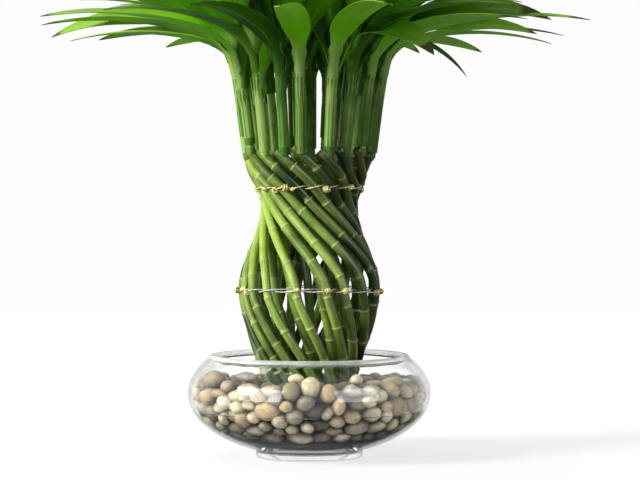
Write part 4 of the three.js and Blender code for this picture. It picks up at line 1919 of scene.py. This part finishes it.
@dataclass
class Tie:
    """Two thin wires that twine round the ring: at each cane one passes in front and one behind.

    Attributes:
        canes: The canes that it holds.
        height: Its height.
        name: The piece's name.
        node: The CAD node that it stands for.
        knots: How many turns each knot has, for places spread evenly round the ring.
        silver: Whether the wires are silvery and only the knots gilt.
        wire: Radius of the wire.
    """

    canes: Canes
    height: float
    name: str
    node: str
    knots: tuple[int, ...]
    silver: bool
    wire: float = 0.0005
    # How the wires swing: up and down, clear of the canes, how flatly and how unevenly
    rise: float = 0.0011
    clear: float = 0.0003
    steps: int = 24
    flatten: float = 0.75
    uneven: float = 0.0009
    knot_radius: float = 0.0015
    knot_length: float = 0.0046
    knot_rise: float = 0.0011

    def line(self, phase: int) -> Line:
        """Return the closed line of one wire, where the other one has the other phase, 0 or 1."""
        points = []
        reach = self.canes.thickness_at(0, self.height) * 1.05 + self.wire + self.clear
        count = self.canes.count
        for n in range(count * self.steps):
            i, part = divmod(n / self.steps, 1)
            here = self.canes.point(int(i), self.height)
            there = self.canes.point((int(i) + 1) % count, self.height)
            flat = here.lerp(there, part)
            ring = lerp(here.xy.length, there.xy.length, part)
            turn = math.pi * (n / self.steps + phase)
            swing = math.copysign(abs(math.cos(turn)) ** self.flatten, math.cos(turn))
            place = Vector((flat.x, flat.y, 0)).normalized() * (ring + reach * swing)
            slack = self.uneven * math.sin(0.7 * n / self.steps + self.height * 100)
            points.append(place + Vector((0, 0, self.height + slack + self.rise * math.sin(turn))))
        return points

    def strand(self, points: Line, closed: bool, name: str, radius: float) -> Piece:
        """Turn a line into a round wire."""
        curve = curve_through(name, points)
        curve.bevel_depth = radius
        curve.bevel_resolution = 1
        curve.use_fill_caps = True
        curve.splines[0].use_cyclic_u = closed
        activate(place_new(name, curve))
        bpy.ops.object.convert(target="MESH")
        return bpy.context.object

    def knot(self, line: Line, middle: int, turns: int, size: float) -> Line:
        """Coil a knot round a wire's line.

        Args:
            line: The wire's closed line.
            middle: The number of its point that the knot is round.
            turns: How many turns the knot has.
            size: Its size as a share of the usual one.

        Returns:
            The points of the coil.
        """
        count = len(line)
        ahead = (line[(middle + 1) % count] - line[(middle - 1) % count]).normalized()
        side = ahead.cross(Vector((0, 0, 1))).normalized()
        up = side.cross(ahead)
        points = []
        last = turns * 10
        for n in range(last + 1):
            t = n / last
            turn = 2 * math.pi * turns * t
            reach = self.knot_radius * size * (0.75 + 0.5 * math.sin(math.pi * t))
            around_wire = reach * (math.cos(turn) * side + math.sin(turn) * up)
            beside = ahead * (t - 0.5) * self.knot_length * size
            points.append(line[middle % count] + beside + around_wire)
        return points

    def build(self) -> None:
        """Model the two wires with their knots, as one piece."""
        gilt = WireFinish("gilt_wire", screen(250, 238, 176), screen(192, 166, 96)).material()
        silver = WireFinish("silver_wire", screen(236, 236, 230), screen(170, 170, 160)).material()
        plain = silver if self.silver else gilt
        lines = [self.line(0), self.line(1)]
        wires = [self.strand(line, True, "wire", self.wire) for line in lines]
        for wire in wires:
            dress(wire, plain)
        apart = self.canes.count * self.steps / len(self.knots)
        for i, turns in enumerate(self.knots):
            if turns:
                chance = draw(Topic.KNOT, i, int(self.height * 1000))
                size = 1 + 0.4 * draw(Topic.KNOT, i, int(self.height * 1000) + 1)
                coil = self.knot(lines[i % 2], int(i * apart + self.steps * 0.4 * chance), turns, size)
                rise = Vector((0, 0, self.knot_rise * chance))
                coil = [point + rise for point in coil]
                wires.append(self.strand(coil, False, "knot", self.wire * (1.1 + 0.4 * size)))
                dress(wires[-1], gilt)
        tie = join(self.name, wires)
        smooth(tie, 80)
        hand_over(tie, [self.node])


# The studio


@dataclass(frozen=True)
class SoftBox:
    """A square studio light.

    Attributes:
        name: Its name.
        azimuth: Where it stands, from the front.
        distance: How far from the axis.
        height: Its height.
        size: Length of its side.
        power: Its power in watts.
        shine_only: Whether it only shows in what is glossy or clear.
    """

    name: str
    azimuth: float
    distance: float
    height: float
    size: float
    power: float
    shine_only: bool = False

    def build(self, target: Vector) -> None:
        """Hang the light and point it at a target."""
        light = bpy.data.lights.new(self.name, "AREA")
        light.shape = "SQUARE"
        light.size = self.size
        light.energy = self.power
        lamp = place_new(self.name, light)
        lamp.location = around(self.azimuth, self.distance, self.height)
        lamp.rotation_euler = (target - lamp.location).to_track_quat("-Z", "Y").to_euler()
        lamp.visible_camera = False
        lamp.visible_diffuse = not self.shine_only


@dataclass
class Studio:
    """The white floor, the soft light and the camera."""

    floor_size: float = 12.0
    # The camera: its place, its tilt up from straight down, and its lens
    eye: Vector = field(default_factory=lambda: Vector((0.0088, -1.6, 0.1926)))
    tilt: float = 89.49
    lens: float = 108.96
    sensor: float = 36.0
    target: Vector = field(default_factory=lambda: Vector((0, 0, 0.2)))
    boxes: tuple[SoftBox, ...] = (
        SoftBox("left_box", -47, 1.7, 0.5, 1.3, 26, True),
        SoftBox("right_box", 47, 1.7, 0.5, 1.3, 19, True),
        SoftBox("top_box", -120, 0.4, 1.7, 1.0, 13),
    )
    # Brightness of the surroundings as seen and as light, and how far a mirror shows the first
    backdrop: float = 0.975
    surround: float = 0.25
    mirrored: float = 0.6
    # The main light: where it comes from, how strong it is and how wide
    key_azimuth: float = -66
    key_climb: float = 26
    key_strength: float = 5.4
    key_softness: float = 22

    def build_floor(self) -> None:
        """Lay the floor under the bowl's foot."""
        deselect()
        bpy.ops.mesh.primitive_plane_add(size=self.floor_size, location=(0, 0, 0))
        floor = named("studio_floor")
        with editing(floor):
            bpy.ops.mesh.select_all(action="SELECT")
            bpy.ops.mesh.subdivide(number_cuts=3)
        dress(floor, FloorFinish().material())

    def build_key(self) -> None:
        """Let wide, soft light fall in from one side of the front."""
        light = bpy.data.lights.new("key_light", "SUN")
        light.energy = self.key_strength
        light.angle = math.radians(self.key_softness)
        lamp = place_new("key_light", light)
        climb = math.radians(self.key_climb)
        towards = around(self.key_azimuth, math.cos(climb), math.sin(climb))
        lamp.rotation_euler = towards.to_track_quat("Z", "Y").to_euler()
        lamp.visible_glossy = False

    def build_world(self) -> None:
        """Surround the studio with soft white, darker for matt surfaces than for what is seen."""
        recipe = Recipe("studio", world=True)
        rays = recipe.node("ShaderNodeLightPath").outputs
        passed = recipe.maths("MAXIMUM", rays["Is Camera Ray"], rays["Transmission Depth"])
        seen = recipe.maths("MINIMUM", passed, 1.0)
        mirrored = recipe.maths("MULTIPLY", rays["Is Glossy Ray"], self.mirrored)
        strength = recipe.node(
            "ShaderNodeMapRange",
            Value=recipe.maths("MAXIMUM", seen, mirrored),
            To_Min=self.surround,
            To_Max=self.backdrop,
        )
        light = recipe.node(
            "ShaderNodeBackground", Color=(1, 1, 1, 1), Strength=strength.outputs["Result"]
        )
        bpy.context.scene.world = recipe.finish(light.outputs[0])

    def build_camera(self) -> None:
        """Set the camera at the photograph's place."""
        data = bpy.data.cameras.new("camera")
        data.lens = self.lens
        data.sensor_width = self.sensor
        camera = place_new("camera", data)
        camera.location = self.eye
        camera.rotation_euler = (math.radians(self.tilt), 0, 0)
        bpy.context.scene.camera = camera

    def build(self) -> None:
        """Set up the whole studio."""
        self.build_floor()
        self.build_world()
        self.build_key()
        for box in self.boxes:
            box.build(self.target)
        self.build_camera()
        bpy.context.scene.view_settings.view_transform = "Standard"


def corners(box: tuple[Vector, Vector]) -> list[list[float]]:
    """Return a box's two corners as plain lists."""
    return [list(corner) for corner in box]


def inner_ring() -> Canes:
    """Return the canes that stand behind those of the frame and fill the ring."""
    return Canes(
        name="inner_cane",
        node=None,
        seed=40,
        foot=Level(0.012, 0.0155, 80),
        belt=Level(0.1375, 0.0405, 0),
        waist=Level(0.2065, 0.0275, -65),
        crown=Level(0.251, 0.038, -121),
        uneven=(-2, 3, 0, 2, -4, 3, -1, 4, -3, 2, -2, 4),
        first_angle=-18,
        radius=0.0043,
        sides=14,
        # No painted light on these canes, and their base tone is painted shade
        lit_cane_tones={},
        shade=0.22,
    )


def core_ring() -> Canes:
    """Return the canes in the middle of the ring, which end in its waist."""
    return Canes(
        name="core_cane",
        node=None,
        seed=60,
        foot=Level(0.012, 0.0085, 48),
        belt=Level(0.1375, 0.028, 0),
        waist=Level(0.2065, 0.0125, -40),
        crown=Level(0.222, 0.0125, -50),
        uneven=(3, -4, 2, -3, 4),
        first_angle=66.5,
        radius=0.0036,
        sides=12,
        # No painted light on these canes, and their base tone is painted shade
        lit_cane_tones={},
        shade=0.3,
    )


def inner_shoots(canes: Canes) -> Shoots:
    """Return the upright shoots of the inner canes, which fill the middle of the crown."""
    return Shoots(
        canes,
        name="inner_shoot",
        node=None,
        leaf_start=0.333,
        leaves=(
            Leaf(0, 66, 34, 0.132, 0.019),
            Leaf(120, 72, 26, 0.118, 0.017),
            Leaf(-120, 74, 26, 0.112, 0.017),
            Leaf(180, 76, 20, 0.104, 0.015),
        ),
        light_and_shade_tones={},
        more={
            0: (Leaf(172, 58, 20, 0.09, 0.022, 0.335),),
            2: (Leaf(-172, 60, 20, 0.088, 0.022, 0.34),),
            4: (Leaf(90, 74, 20, 0.12, 0.022, 0.301),),
            5: (Leaf(-95, 72, 20, 0.12, 0.024, 0.299),),
            6: (Leaf(176, 56, 20, 0.09, 0.022, 0.345),),
            9: (Leaf(-176, 58, 20, 0.092, 0.022, 0.35),),
        },
        inward_place=None,
        clasp_long=0.04,
        bare=(10, 11),
        tone=0.15,
    )


def main() -> None:
    """Load the frame and build every piece round it."""
    logging.basicConfig(level=logging.INFO, format="%(message)s")
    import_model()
    Studio().build()
    canes = Canes()
    bowl = Bowl()
    bowl.build()
    bowl.build_water()
    StoneBed(bowl, canes).build()
    canes.build()
    Shoots(canes).build()
    core_ring().build()
    inner = inner_ring()
    inner.build()
    inner_shoots(inner).build()
    Tie(canes, 0.1375, "belt_tie", "tie_lower", (3, 3, 4, 0, 3, 3, 4, 3, 0) * 2, True).build()
    Tie(canes, 0.221, "neck_tie", "tie_upper", (4, 2, 3, 5, 2, 4, 0, 3, 4, 0, 3, 2) * 3, False).build()
    bpy.context.view_layer.update()


if __name__ == "__main__":
    main()
